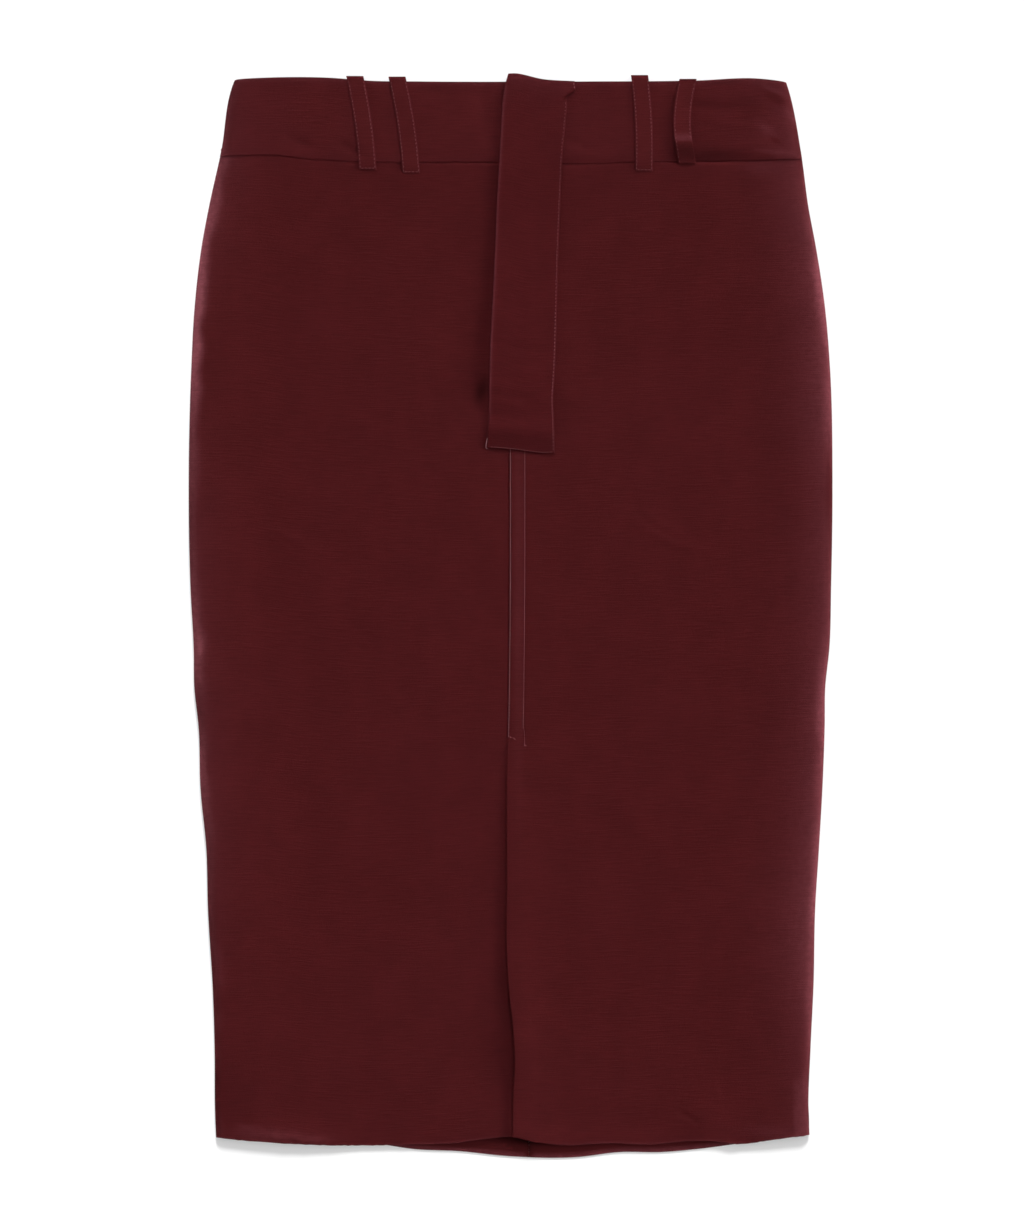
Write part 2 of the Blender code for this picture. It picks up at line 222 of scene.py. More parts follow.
@dataclass(frozen=True)
class Ripple:
    """Uneven gentle waves.

    Random numbers from -1 to 1 stand on a lattice of the pitch across and down. A place takes the
    eased mean of the four round it, times the height.
    """

    height: float
    pitch: tuple[float, float]
    seed: int
    lattice: tuple[int, int] = (97, 89)
    origin: tuple[float, float] = (40.0, 7.0)

    def at(self, x: Grid, down: Grid) -> Grid:
        """Reads the waves.

        Args:
            x: places across.
            down: places down.

        Returns:
            The height at each place.
        """
        rows, columns = self.lattice
        peaks = np.random.default_rng(self.seed).uniform(-1.0, 1.0, self.lattice)
        across, along = x / self.pitch[0] + self.origin[0], down / self.pitch[1] + self.origin[1]
        column, row = np.floor(across).astype(int), np.floor(along).astype(int)
        s, t = ease(0.0, 1.0, across - column), ease(0.0, 1.0, along - row)
        left, right = column % columns, (column + 1) % columns
        top, low = row % rows, (row + 1) % rows
        upper = blend(peaks[top, left], peaks[top, right], s)
        lower = blend(peaks[low, left], peaks[low, right], s)
        return self.height * blend(upper, lower, t)

    def along(self, x: Grid) -> Grid:
        """Height at places along a line across the garment."""
        return self.at(x, np.zeros_like(x))


@dataclass(frozen=True)
class Cut:
    """The lines and heights of the skirt as it lies, close to those of its solids.

    Sides, rolls, the lap and the tab's edges are given by down. Hems, seams and the tab's ends are
    given by x.
    """

    panel_wall: float = 0.001
    band_wall: float = 0.0018
    seam_gap: float = 0.0003
    band_fill: float = 0.0008
    band_step: float = 0.0003
    centre_down: float = 0.3838
    seam_down: float = 0.058
    hem_down: float = 0.76
    lowest_down: float = 0.7736
    roll_stretch: float = 2.0
    roll_foot: float = 0.0006
    swell_reach: float = 0.055
    band_roll: float = 0.0062
    rise_reach: float = 0.028
    left_rise: tuple[float, float] = (0.002, 0.008)
    right_rise: tuple[float, float] = (0.014, 0.03)
    lap_width: float = 0.012
    vent_lap_width: float = 0.028
    vent_top: float = 0.474
    vent_growth: float = 0.02
    lap_clearance: float = 0.001
    lap_rise: float = 0.0005
    lap_fall: float = 0.06
    vent_reach: float = 0.022
    droop_start: float = 0.0004
    droop_reach: float = 0.006
    droop_depth: float = 0.0016
    step_reach: float = 0.008

    sides: tuple[Line, Line] = paired(
        (-0.003, -0.1972, 0.1975), (0.0, -0.1985, 0.1985), (0.054, -0.2084, 0.2094),
        (0.0922, -0.2169, 0.2146), (0.121, -0.2223, 0.22), (0.1642, -0.2274, 0.2265),
        (0.2074, -0.2298, 0.2301), (0.2938, -0.2317, 0.2319), (0.3658, -0.2305, 0.2309),
        (0.409, -0.2282, 0.2297), (0.4378, -0.2277, 0.2267), (0.4666, -0.2246, 0.2263),
        (0.5098, -0.2233, 0.2247), (0.553, -0.2191, 0.2222), (0.5962, -0.2179, 0.2195),
        (0.6538, -0.2144, 0.2182), (0.697, -0.2131, 0.2161), (0.7402, -0.2128, 0.2146),
        (0.766, -0.2118, 0.2156),
    )
    rolls: tuple[Line, Line] = paired(
        (0.0, 0.0057, 0.0058), (0.1, 0.005, 0.0052), (0.19, 0.0047, 0.0057), (0.28, 0.0046, 0.005),
        (0.37, 0.0048, 0.0046), (0.435, 0.0058, 0.0054), (0.49, 0.0048, 0.0057),
        (0.54, 0.0055, 0.0048), (0.62, 0.0046, 0.0047), (0.69, 0.0048, 0.0052),
        (0.77, 0.0041, 0.0045),
    )
    waist_edge: Line = Line((
        (-0.21, -0.0006), (-0.1976, -0.0014), (-0.135, -0.0029), (-0.0976, -0.0004), (-0.066, 0.0),
        (0.046, 0.0), (0.1336, -0.0007), (0.176, -0.002), (0.199, 0.0004),
    ))
    waist_seam: Line = Line((
        (-0.2084, 0.054), (-0.1674, 0.0533), (-0.1415, 0.0562), (-0.1098, 0.0576),
        (-0.0659, 0.0583), (-0.0428, 0.0579), (0.0443, 0.059), (0.0839, 0.0582), (0.1199, 0.0574),
        (0.1732, 0.0568), (0.2092, 0.056),
    ))
    hems: tuple[Line, Line] = (
        Line((
            (-0.2118, 0.76), (-0.176, 0.7632), (-0.111, 0.7658), (-0.074, 0.7651),
            (-0.041, 0.7639), (-0.014, 0.7603), (0.0, 0.7593), (0.03, 0.759),
        )),
        Line((
            (0.001, 0.759), (0.0047, 0.7596), (0.0198, 0.7632), (0.04, 0.7654), (0.073, 0.7639),
            (0.093, 0.765), (0.144, 0.7625), (0.164, 0.7646), (0.191, 0.761), (0.216, 0.7579),
        )),
    )
    back_hem: Line = Line((
        (-0.2118, 0.756), (-0.15, 0.761), (-0.094, 0.7651), (-0.07, 0.7686), (-0.0364, 0.7702),
        (-0.0032, 0.7736), (0.0479, 0.7744), (0.0788, 0.7708), (0.1084, 0.7708), (0.1307, 0.769),
        (0.1688, 0.7639), (0.2156, 0.755),
    ))
    lap_edge: Line = Line((
        (0.05, -0.0011), (0.456, -0.0016), (0.474, -0.0019), (0.4939, -0.0024), (0.5659, -0.0025),
        (0.6293, -0.0026), (0.6502, -0.0015), (0.6804, 0.0018), (0.7006, 0.003), (0.7308, 0.0019),
        (0.766, 0.0016),
    ))
    tab_top: Line = Line(((-0.003, -0.0056), (0.001, -0.006), (0.0248, -0.0014), (0.0465, 0.0)))
    tab_foot: Line = Line((
        (-0.018, 0.2634), (-0.001, 0.2647), (0.0119, 0.2664), (0.0248, 0.2676), (0.032, 0.2671),
    ))
    tab_left: Line = Line((
        (-0.006, -0.0016), (0.0014, -0.0035), (0.0076, -0.0044), (0.0122, -0.0052),
        (0.0266, -0.0063), (0.0511, -0.0076), (0.0828, -0.0095), (0.126, -0.0112),
        (0.2088, -0.015), (0.2304, -0.0153), (0.2419, -0.0156), (0.268, -0.018),
    ))
    tab_right: Line = Line((
        (-0.006, 0.0461), (0.0014, 0.0461), (0.0076, 0.0461), (0.0122, 0.04), (0.0158, 0.0404),
        (0.0266, 0.0398), (0.0511, 0.0374), (0.0828, 0.0359), (0.126, 0.0342), (0.2088, 0.0318),
        (0.2304, 0.0306), (0.2419, 0.0311), (0.268, 0.0318),
    ))
    panel_folds: tuple[Crease, ...] = crease_set(
        (-0.216, 0.437, 0.038, 0.006, 4.0, 0.0008), (-0.211, 0.534, 0.033, 0.007, -5.0, 0.0007),
        (0.215, 0.46, 0.045, 0.007, 3.0, 0.0007), (0.216, 0.19, 0.04, 0.008, 6.0, 0.0006),
        (-0.161, 0.33, 0.018, 0.006, 70.0, 0.0008), (0.1127, 0.325, 0.022, 0.007, 62.0, 0.0009),
        (-0.17, 0.753, 0.042, 0.011, 88.0, 0.0013), (0.13, 0.742, 0.035, 0.014, 75.0, 0.001),
        (0.09, 0.39, 0.15, 0.03, 2.0, 0.0007), (-0.19, 0.62, 0.12, 0.022, -3.0, 0.0008),
        (0.175, 0.64, 0.09, 0.024, 8.0, 0.0008),
    )
    band_folds: tuple[Crease, ...] = crease_set(
        (-0.155, 0.047, 0.01, 0.006, 80.0, -0.0007), (0.153, 0.02, 0.018, 0.005, 88.0, -0.0007),
        (0.186, 0.006, 0.013, 0.005, 62.0, 0.0009), (0.19, 0.035, 0.01, 0.006, 40.0, -0.0008),
        (0.185, 0.048, 0.015, 0.005, 88.0, 0.0009),
    )

    @property
    def panel_top(self) -> float:
        """Outer height of a front panel that lies on the back."""
        return 2 * self.panel_wall + self.seam_gap

    @property
    def band_top(self) -> float:
        """Outer height of the front waistband over the back one."""
        return 2 * self.band_wall + self.seam_gap + self.band_fill

    def reach(self, side: Side, down: Grid) -> Grid:
        """Distance of one side outline from the middle."""
        return side.value * self.sides[side.index].at(down)

    def roll(self, side: Side, down: Grid) -> Grid:
        """Height of one side roll of the front panels."""
        return self.rolls[side.index].at(down)

    def droop(self, x: Grid, down: Grid) -> Grid:
        """How far cloth has sunk where it runs on past the waist edge."""
        past_edge = self.waist_edge.at(x) - down
        return self.droop_depth * ease(self.droop_start, self.droop_reach, past_edge)

    def lap_end(self, down: Grid) -> Grid:
        """Inner edge of the left front, under the right one."""
        grown = ease(self.vent_top, self.vent_top + self.vent_growth, down)
        return self.lap_edge.at(down) + blend(self.lap_width, self.vent_lap_width, grown)

    def lap_height(self, x: Grid, down: Grid) -> Grid:
        """What the right front stands higher by, where it lies on the left one."""
        end = self.lap_end(down) + self.lap_clearance
        return self.lap_rise * (1.0 - ease(end, end + self.lap_fall, x))

    def panel_height(self, x: Grid, down: Grid) -> Grid:
        """Outer height of a front panel inside its roll: flat, with its rise and its folds."""
        return self.panel_top + self.seam_rise(x, down) + creased(self.panel_folds, x, down)

    def seam_rise(self, x: Grid, down: Grid) -> Grid:
        """Rise of the panels towards the waistband, which fades by exp(-d / reach) below the seam.

        Args:
            x: places across.
            down: places down.

        Returns:
            The rise, none at the middle, where the lap and the tab lie.
        """
        highest = self.band_top - self.band_step - self.panel_top
        rise = highest * np.exp(-np.maximum(down - self.seam_down, 0.0) / self.rise_reach)
        return rise * (ease(*self.left_rise, -x) + ease(*self.right_rise, x))

    def lapped_height(self, x: Grid, down: Grid) -> Grid:
        """Outer height of the right front: (rise^4 + lap^4)^(1/4) and its folds.

        Args:
            x: places across.
            down: places down.

        Returns:
            The height at each place.
        """
        rise, lap = self.seam_rise(x, down), self.lap_height(x, down)
        raised = (rise**4 + lap**4) ** 0.25
        return self.panel_top + raised + creased(self.panel_folds, x, down)

    def band_height(self, x: Grid, down: Grid) -> Grid:
        """Outer height of the front waistband inside its roll."""
        return self.band_top + creased(self.band_folds, x, down)

    def to_points(self, x: Grid, down: Grid, z: Grid) -> Grid:
        """Grid of points from places on the garment and heights over the floor."""
        x, down, z = np.broadcast_arrays(x, down, z)
        return np.stack([x, self.centre_down - down, z], axis=-1)


CUT = Cut()


def edge_steps(wall: float) -> Grid:
    """Distances from an edge that carry its half-round profile, by wall / 2 (1 - cos(turn))."""
    return wall / 2 * (1.0 - np.cos(np.linspace(0.0, math.pi / 2, ROUNDING_STEPS)))


def spaced(length: float, pitch: float, wall: float) -> Grid:
    """Shares from 0 to 1 along a length, close together at its ends, which are rounded.

    Args:
        length: the length.
        pitch: about how far apart the steps between the ends lie.
        wall: the cloth's wall.

    Returns:
        The shares.
    """
    near = edge_steps(wall)
    inner = np.linspace(near[-1], length - near[-1], max(3, round(length / pitch)) + 1)
    return np.concatenate([near[:-1], inner, length - near[:-1][::-1]]) / length


def grid_normals(points: Grid) -> Grid:
    """Unit normals of a grid, from the cross product of its central differences.

    Args:
        points: the grid.

    Returns:
        One normal for each point.
    """
    across = np.gradient(points, axis=1)
    down = np.gradient(points, axis=0)
    normal = np.cross(down, across)
    return normal / np.linalg.norm(normal, axis=-1, keepdims=True)


def arc_lengths(points: Grid, axis: int) -> Grid:
    """Adds up the steps between neighbouring points.

    Args:
        points: the grid.
        axis: 0 to go down the rows, 1 to go across the columns.

    Returns:
        Each point's distance from the grid's first edge, along the surface.
    """
    step = np.linalg.norm(np.diff(points, axis=axis), axis=-1)
    total = np.cumsum(step, axis=axis)
    return np.concatenate([np.zeros_like(np.take(total, [0], axis=axis)), total], axis=axis)


@dataclass
class Shell:
    """A closed sheet of cloth from the grid of its outer surface, with half-round edges.

    Rows run down the garment and columns to +X. The inner surface lies a wall below the outer one
    along the normals. Towards an edge both close in on the middle of the wall by
    r - sqrt(r^2 - (r - s)^2), with r half the wall and s the distance from the edge.
    """

    name: str
    points: Grid
    wall: float
    rub: Grid | float = 0.0
    edge_highlight: float = 0.0
    edge_width: float = 0.0011

    def build(self) -> bpy.types.Object:
        """Builds the mesh with its cloth map, whose unit is a metre, and its painted light.

        Painted light says how much paler the cloth is painted, up to 1, as a painted highlight,
        and below 0 how much darker, as painted shade for how deep it lies in a fold or under a
        shadow: the piece's own, and at its edges the edge highlight times a bell of the distance
        from them.

        Returns:
            The new object, at the origin, with its place in its mesh.
        """
        rows, columns = self.points.shape[:2]
        across, down = arc_lengths(self.points, 1), arc_lengths(self.points, 0)
        edge = np.minimum.reduce([across, across[:, -1:] - across, down, down[-1:] - down])
        half = self.wall / 2
        short = np.clip(half - edge, 0.0, half)
        closing = (half - np.sqrt(half**2 - short**2))[..., None]
        normal = grid_normals(self.points)
        outer = self.points - normal * closing
        inner = self.points - normal * (self.wall - closing)
        inside = inner[1:-1, 1:-1].reshape(-1, 3)
        top = np.arange(rows * columns).reshape(rows, columns)
        under = top.copy()
        under[1:-1, 1:-1] = rows * columns + np.arange(len(inside)).reshape(rows - 2, columns - 2)
        faces = np.concatenate([self._quads(top), self._quads(under)[:, ::-1]])
        corners = np.concatenate([outer.reshape(-1, 3), inside])
        place = np.stack([across + self.points[:, :1, 0], down], -1)
        maps = np.concatenate([place.reshape(-1, 2), place[1:-1, 1:-1].reshape(-1, 2)])
        # Painted light: the piece's painted highlights and shade, plus a painted highlight along
        # its edges.
        painted = self.rub + self.edge_highlight * bell(edge, self.edge_width)
        painted = np.clip(np.broadcast_to(painted, edge.shape), *PAINTED_LIGHT_RANGE)
        piece = mesh_object(self.name, corners, faces, maps)
        layer = piece.data.attributes.new(PAINTED_LIGHT_LAYER, "FLOAT", "POINT")
        values = np.concatenate([painted.ravel(), painted[1:-1, 1:-1].ravel()])
        layer.data.foreach_set("value", values.astype(np.float32))
        return piece

    @staticmethod
    def _quads(index: Grid) -> Grid:
        """Four corners of each cell of an index grid, anticlockwise from above."""
        cells = [index[:-1, :-1], index[1:, :-1], index[1:, 1:], index[:-1, 1:]]
        return np.stack(cells, -1).reshape(-1, 4)


def mesh_object(
    name: str, corners: Grid, faces: Grid, maps: Grid | None = None
) -> bpy.types.Object:
    """Makes an object of quads or triangles from whole arrays.

    Args:
        name: the piece's name.
        corners: (n, 3) points, in metres.
        faces: (m, 3 or 4) indices into corners, anticlockwise from outside.
        maps: (n, 2) places on the cloth map, in metres.

    Returns:
        The object, shaded smooth and linked to the scene.
    """
    mesh = bpy.data.meshes.new(name)
    count, sides = faces.shape
    mesh.vertices.add(len(corners))
    mesh.vertices.foreach_set("co", corners.astype(np.float32).ravel())
    mesh.loops.add(count * sides)
    mesh.loops.foreach_set("vertex_index", faces.astype(np.int32).ravel())
    mesh.polygons.add(count)
    mesh.polygons.foreach_set("loop_start", np.arange(0, count * sides, sides, dtype=np.int32))
    mesh.update(calc_edges=True)
    if maps is not None:
        layer = mesh.uv_layers.new(name=CLOTH_MAP)
        layer.data.foreach_set("uv", maps[faces.ravel()].astype(np.float32).ravel())
    mesh.shade_smooth()
    piece = bpy.data.objects.new(name, mesh)
    bpy.context.scene.collection.objects.link(piece)
    return piece


class Graph:
    """A small hand for wiring shader nodes."""

    def __init__(self, tree: bpy.types.NodeTree) -> None:
        """Works on one node tree."""
        self.tree = tree

    def node(self, kind: str, **settings: object) -> bpy.types.Node:
        """Adds a node.

        Args:
            kind: the node's type.
            settings: its properties, by name.

        Returns:
            The node.
        """
        node = self.tree.nodes.new(kind)
        for name, value in settings.items():
            setattr(node, name, value)
        return node

    def feed(self, socket: Socket, source: Source) -> None:
        """Links a socket to another one, or sets it to a plain value.

        Args:
            socket: an input.
            source: an output, or the value.
        """
        if isinstance(source, bpy.types.NodeSocket):
            self.tree.links.new(source, socket)
        else:
            socket.default_value = source

    def fed(self, node: bpy.types.Node, sources: dict[int | str, Source]) -> Socket:
        """Feeds a node.

        Args:
            node: the node.
            sources: what goes into each input.

        Returns:
            Its first output.
        """
        for label, source in sources.items():
            self.feed(node.inputs[label], source)
        return node.outputs[0]

    def math(self, operation: str, *sources: Source) -> Socket:
        """Result of a Math node."""
        return self.fed(self.node("ShaderNodeMath", operation=operation), dict(enumerate(sources)))

    def vector(self, operation: str, vector: Source, by: Source) -> Socket:
        """Product of a vector and another, part by part, or for SCALE of a vector and a number."""
        node = self.node("ShaderNodeVectorMath", operation=operation)
        return self.fed(node, {0: vector, "Scale" if operation == "SCALE" else 1: by})

    def noise(self, vector: Source, scale: float, detail: float, rough: float) -> Socket:
        """Noise of about 0 to 1, at a scale in waves a metre."""
        settings = {"Vector": vector, "Scale": scale, "Detail": detail, "Roughness": rough}
        return self.fed(self.node("ShaderNodeTexNoise"), settings)

    def mapped(self, value: Source, span: tuple[float, float], to: tuple[float, float]) -> Socket:
        """A value moved smoothly from one span to another, and held inside it."""
        node = self.node("ShaderNodeMapRange", interpolation_type="SMOOTHSTEP")
        return self.fed(node, dict(enumerate((value, *span, *to))))

    def parts(self, vector: Source) -> bpy.types.NodeOutputs:
        """Splits a vector.

        Args:
            vector: the vector.

        Returns:
            The outputs, by "X", "Y" and "Z".
        """
        node = self.node("ShaderNodeSeparateXYZ")
        self.feed(node.inputs[0], vector)
        return node.outputs

    def bump(self, height: Source, distance: float) -> Socket:
        """A normal that follows a height."""
        return self.fed(self.node("ShaderNodeBump"), {"Distance": distance, "Height": height})


def new_group(
    name: str, takes: dict[str, str], gives: dict[str, str]
) -> tuple[bpy.types.NodeTree, Graph, bpy.types.Node, bpy.types.Node]:
    """Starts a shader group with named inputs and outputs.

    Args:
        name: the group's name.
        takes: name to socket kind of each input.
        gives: name to socket kind of each output.

    Returns:
        The group, its graph, its input node and its output node.
    """
    group = bpy.data.node_groups.new(name, "ShaderNodeTree")
    for sockets, way in ((takes, "INPUT"), (gives, "OUTPUT")):
        for label, kind in sockets.items():
            group.interface.new_socket(name=label, in_out=way, socket_type=kind)
    graph = Graph(group)
    return group, graph, graph.node("NodeGroupInput"), graph.node("NodeGroupOutput")


FLOAT, VECTOR = "NodeSocketFloat", "NodeSocketVector"
NOISE_SPAN = (0.3, 0.7)
# A Mix node's colour sockets share their names with others, so they are found by their places.
MIX_SHARE, MIX_FIRST, MIX_LAST, MIX_RESULT = 0, 6, 7, 2


def weave_group() -> bpy.types.NodeTree:
    """Makes the plain weave.

    Threads lie a pitch apart and wander a little. The height is |sin u| of the warp where
    sin u sin v > 0 and |sin v| of the weft elsewhere, with u and v turning by pi a pitch.

    Returns:
        The group, with a height of 0 to 1.
    """
    takes = {"Cloth": VECTOR, "Pitch": FLOAT}
    group, graph, start, end = new_group("plain_weave", takes, {"Height": FLOAT})
    cloth = start.outputs["Cloth"]
    flat = graph.vector("MULTIPLY", cloth, (1.0, 1.0, 0.0))
    wander = graph.noise(flat, scale=90.0, detail=1.0, rough=0.5)
    wander_width = 0.0006
    split = graph.parts(cloth)
    turns = graph.math("DIVIDE", math.pi, start.outputs["Pitch"])
    waves = []
    for part in ("X", "Y"):
        place = graph.math("MULTIPLY_ADD", wander, wander_width, split[part])
        waves.append(graph.math("SINE", graph.math("MULTIPLY", place, turns)))
    over = graph.mapped(graph.math("MULTIPLY", *waves), span=(-0.25, 0.25), to=(0.0, 1.0))
    warp, weft = (graph.math("ABSOLUTE", wave) for wave in waves)
    rest = graph.math("SUBTRACT", 1.0, over)
    height = graph.math("MULTIPLY_ADD", warp, over, graph.math("MULTIPLY", weft, rest))
    graph.feed(end.inputs["Height"], height)
    return group


def slub_group() -> bpy.types.NodeTree:
    """Makes the thick places of the crosswise yarn: noise drawn out to their length, in two sizes.

    Returns:
        The group, with a slub of 0 to 1.
    """
    takes = {"Cloth": VECTOR, "Length": FLOAT, "Width": FLOAT}
    group, graph, start, end = new_group("slub_yarn", takes, {"Slub": FLOAT})
    size = graph.node("ShaderNodeCombineXYZ")
    for part, label in (("X", "Length"), ("Y", "Width")):
        graph.feed(size.inputs[part], graph.math("DIVIDE", 1.0, start.outputs[label]))
    place = graph.vector("MULTIPLY", start.outputs["Cloth"], size.outputs[0])
    finer_stretch = (0.7, 2.6, 1.0)
    finer = graph.vector("MULTIPLY", place, finer_stretch)
    coarse = graph.noise(place, scale=1.0, detail=1.0, rough=0.5)
    fine = graph.noise(finer, scale=1.0, detail=1.0, rough=0.5)
    fine_share = 0.45
    rest = graph.math("MULTIPLY", coarse, 1.0 - fine_share)
    both = graph.math("MULTIPLY_ADD", fine, fine_share, rest)
    graph.feed(end.inputs["Slub"], graph.mapped(both, span=(0.34, 0.66), to=(0.0, 1.0)))
    return group


def new_material(
    name: str, plain: dict[str, Source]
) -> tuple[bpy.types.Material, Graph, bpy.types.Node]:
    """Starts a material on the Principled shader.

    Args:
        name: the material's name.
        plain: the values of the shader's unlinked sockets.

    Returns:
        The material, its graph and its shader.
    """
    material = bpy.data.materials.new(name)
    material.use_nodes = True
    shader = material.node_tree.nodes["Principled BSDF"]
    for label, value in plain.items():
        shader.inputs[label].default_value = value
    return material, Graph(material.node_tree), shader


@dataclass(frozen=True)
class ClothFinish:
    """Matt burgundy cloth: plain weave, crosswise slubs, a faint mottle and a soft sheen.

    Painted light above 0 mixes in the highlight colour, a painted highlight, and below 0 darkens
    the cloth by that share, painted shade.
    """

    name: str
    colour: tuple[float, float, float]
    # The pale colour that painted highlights mix in.
    highlight_colour: tuple[float, float, float] = (0.15, 0.041, 0.051)
    roughness: float = 0.9
    gloss: float = 0.01
    sheen: float = 0.055
    sheen_roughness: float = 0.34
    sheen_tint: tuple[float, float, float] = (1.0, 0.25, 0.31)
    pitch: float = 0.00046
    weave_depth: float = 0.00005
    # Painted shade in the gaps between threads and painted light on their crowns, from the thread
    # height.
    weave_shading: tuple[float, float] = (0.82, 1.12)
    slub_size: tuple[float, float] = (0.016, 0.0011)
    slub_depth: float = 0.00006
    slub_tone: float = 0.1
    mottle_tone: float = 0.1
    mottle_scale: float = 34.0
    mottle_stretch: tuple[float, float, float] = (1.0, 0.8, 1.0)
    patch_scale: float = 260.0
    highlight_patchiness: tuple[float, float] = (0.82, 1.14)

    def material(self, weave: bpy.types.NodeTree, slub: bpy.types.NodeTree) -> bpy.types.Material:
        """Builds the material.

        Args:
            weave: the plain weave group.
            slub: the slub yarn group.

        Returns:
            The material.
        """
        material, graph, shader = new_material(self.name, {
            "Roughness": self.roughness, "Specular IOR Level": self.gloss,
            "Sheen Weight": self.sheen, "Sheen Roughness": self.sheen_roughness,
            "Sheen Tint": (*self.sheen_tint, 1.0),
        })
        cloth = graph.node("ShaderNodeUVMap", uv_map=CLOTH_MAP).outputs[0]
        threads = graph.fed(graph.node("ShaderNodeGroup", node_tree=weave),
                            {"Cloth": cloth, "Pitch": self.pitch})
        yarn = graph.fed(graph.node("ShaderNodeGroup", node_tree=slub),
                         {"Cloth": cloth, "Length": self.slub_size[0], "Width": self.slub_size[1]})
        stretched = graph.vector("MULTIPLY", cloth, self.mottle_stretch)
        mottle = graph.noise(stretched, self.mottle_scale, detail=3.0, rough=0.55)
        half = self.mottle_tone / 2
        mottle = graph.mapped(mottle, NOISE_SPAN, to=(1.0 - half, 1.0 + half))
        tone = graph.math("MULTIPLY_ADD", yarn, self.slub_tone, 1.0 - self.slub_tone / 2)
        tone = graph.math("MULTIPLY", tone, mottle)
        # The tone follows the thread height: painted shade in the gaps, painted light on the
        # crowns.
        low, high = self.weave_shading
        tone = graph.math("MULTIPLY", tone, graph.math("MULTIPLY_ADD", threads, high - low, low))
        # Painted light: below 0 it darkens the tone as painted shade; above 0 it mixes in the
        # highlight colour in noisy patches, a painted highlight.
        rub = graph.node("ShaderNodeAttribute", attribute_name=PAINTED_LIGHT_LAYER).outputs["Fac"]
        tone = graph.math("MULTIPLY_ADD", tone, graph.math("MINIMUM", rub, 0.0), tone)
        patchy = graph.noise(cloth, self.patch_scale, detail=2.0, rough=0.6)
        patchy = graph.mapped(patchy, NOISE_SPAN, to=self.highlight_patchiness)
        painted = graph.node("ShaderNodeMix", data_type="RGBA", clamp_factor=True)
        graph.fed(painted, {MIX_SHARE: graph.math("MULTIPLY", rub, patchy),
                         MIX_FIRST: (*self.colour, 1.0), MIX_LAST: (*self.highlight_colour, 1.0)})
        colour = graph.vector("SCALE", painted.outputs[MIX_RESULT], tone)
        graph.feed(shader.inputs["Base Color"], colour)
        height = graph.math("MULTIPLY", threads, self.weave_depth)
        height = graph.math("MULTIPLY_ADD", yarn, self.slub_depth, height)
        graph.feed(shader.inputs["Normal"], graph.bump(height, distance=1.0))
        return material


@dataclass(frozen=True)
class ThreadFinish:
    """Sewing thread: lighter than the cloth, with its twist as a fine diagonal bump."""

    name: str = "sewing_thread"
    colour: tuple[float, float, float] = (0.17, 0.048, 0.06)
    roughness: float = 0.55
    sheen: float = 0.3
    twist_pitch: float = 0.0005
    twist_depth: float = 0.00004
    fuzz_scale: float = 900.0
    fuzz_tone: tuple[float, float] = (0.82, 1.17)

    def material(self) -> bpy.types.Material:
        """Builds the material.

        Returns:
            The material.
        """
        material, graph, shader = new_material(
            self.name, {"Roughness": self.roughness, "Sheen Weight": self.sheen})
        place = graph.node("ShaderNodeTexCoord").outputs["Object"]
        split = graph.parts(place)
        along = graph.math("ADD", split["X"], split["Y"])
        twist = graph.math("SINE", graph.math("MULTIPLY", along, 2 * math.pi / self.twist_pitch))
        low, high = self.fuzz_tone
        fuzz = graph.noise(place, self.fuzz_scale, detail=2.0, rough=0.6)
        tone = graph.math("MULTIPLY_ADD", fuzz, high - low, low)
        graph.feed(shader.inputs["Base Color"], graph.vector("SCALE", self.colour, tone))
        graph.feed(shader.inputs["Normal"], graph.bump(twist, self.twist_depth))
        return material


@dataclass(frozen=True)
class FloorFinish:
    """A plain pale floor with a barely uneven tone."""

    name: str = "pale_floor"
    colour: tuple[float, float, float] = (0.93, 0.93, 0.93)
    roughness: float = 0.95
    gloss: float = 0.1
    tone_scale: float = 6.0
    tone: tuple[float, float] = (0.995, 1.0)

    def material(self) -> bpy.types.Material:
        """Builds the material.

        Returns:
            The material.
        """
        material, graph, shader = new_material(
            self.name, {"Roughness": self.roughness, "Specular IOR Level": self.gloss})
        place = graph.node("ShaderNodeTexCoord").outputs["Object"]
        cloudy = graph.noise(place, self.tone_scale, detail=2.0, rough=0.5)
        tone = graph.mapped(cloudy, NOISE_SPAN, to=self.tone)
        graph.feed(shader.inputs["Base Color"], graph.vector("SCALE", self.colour, tone))
        return material


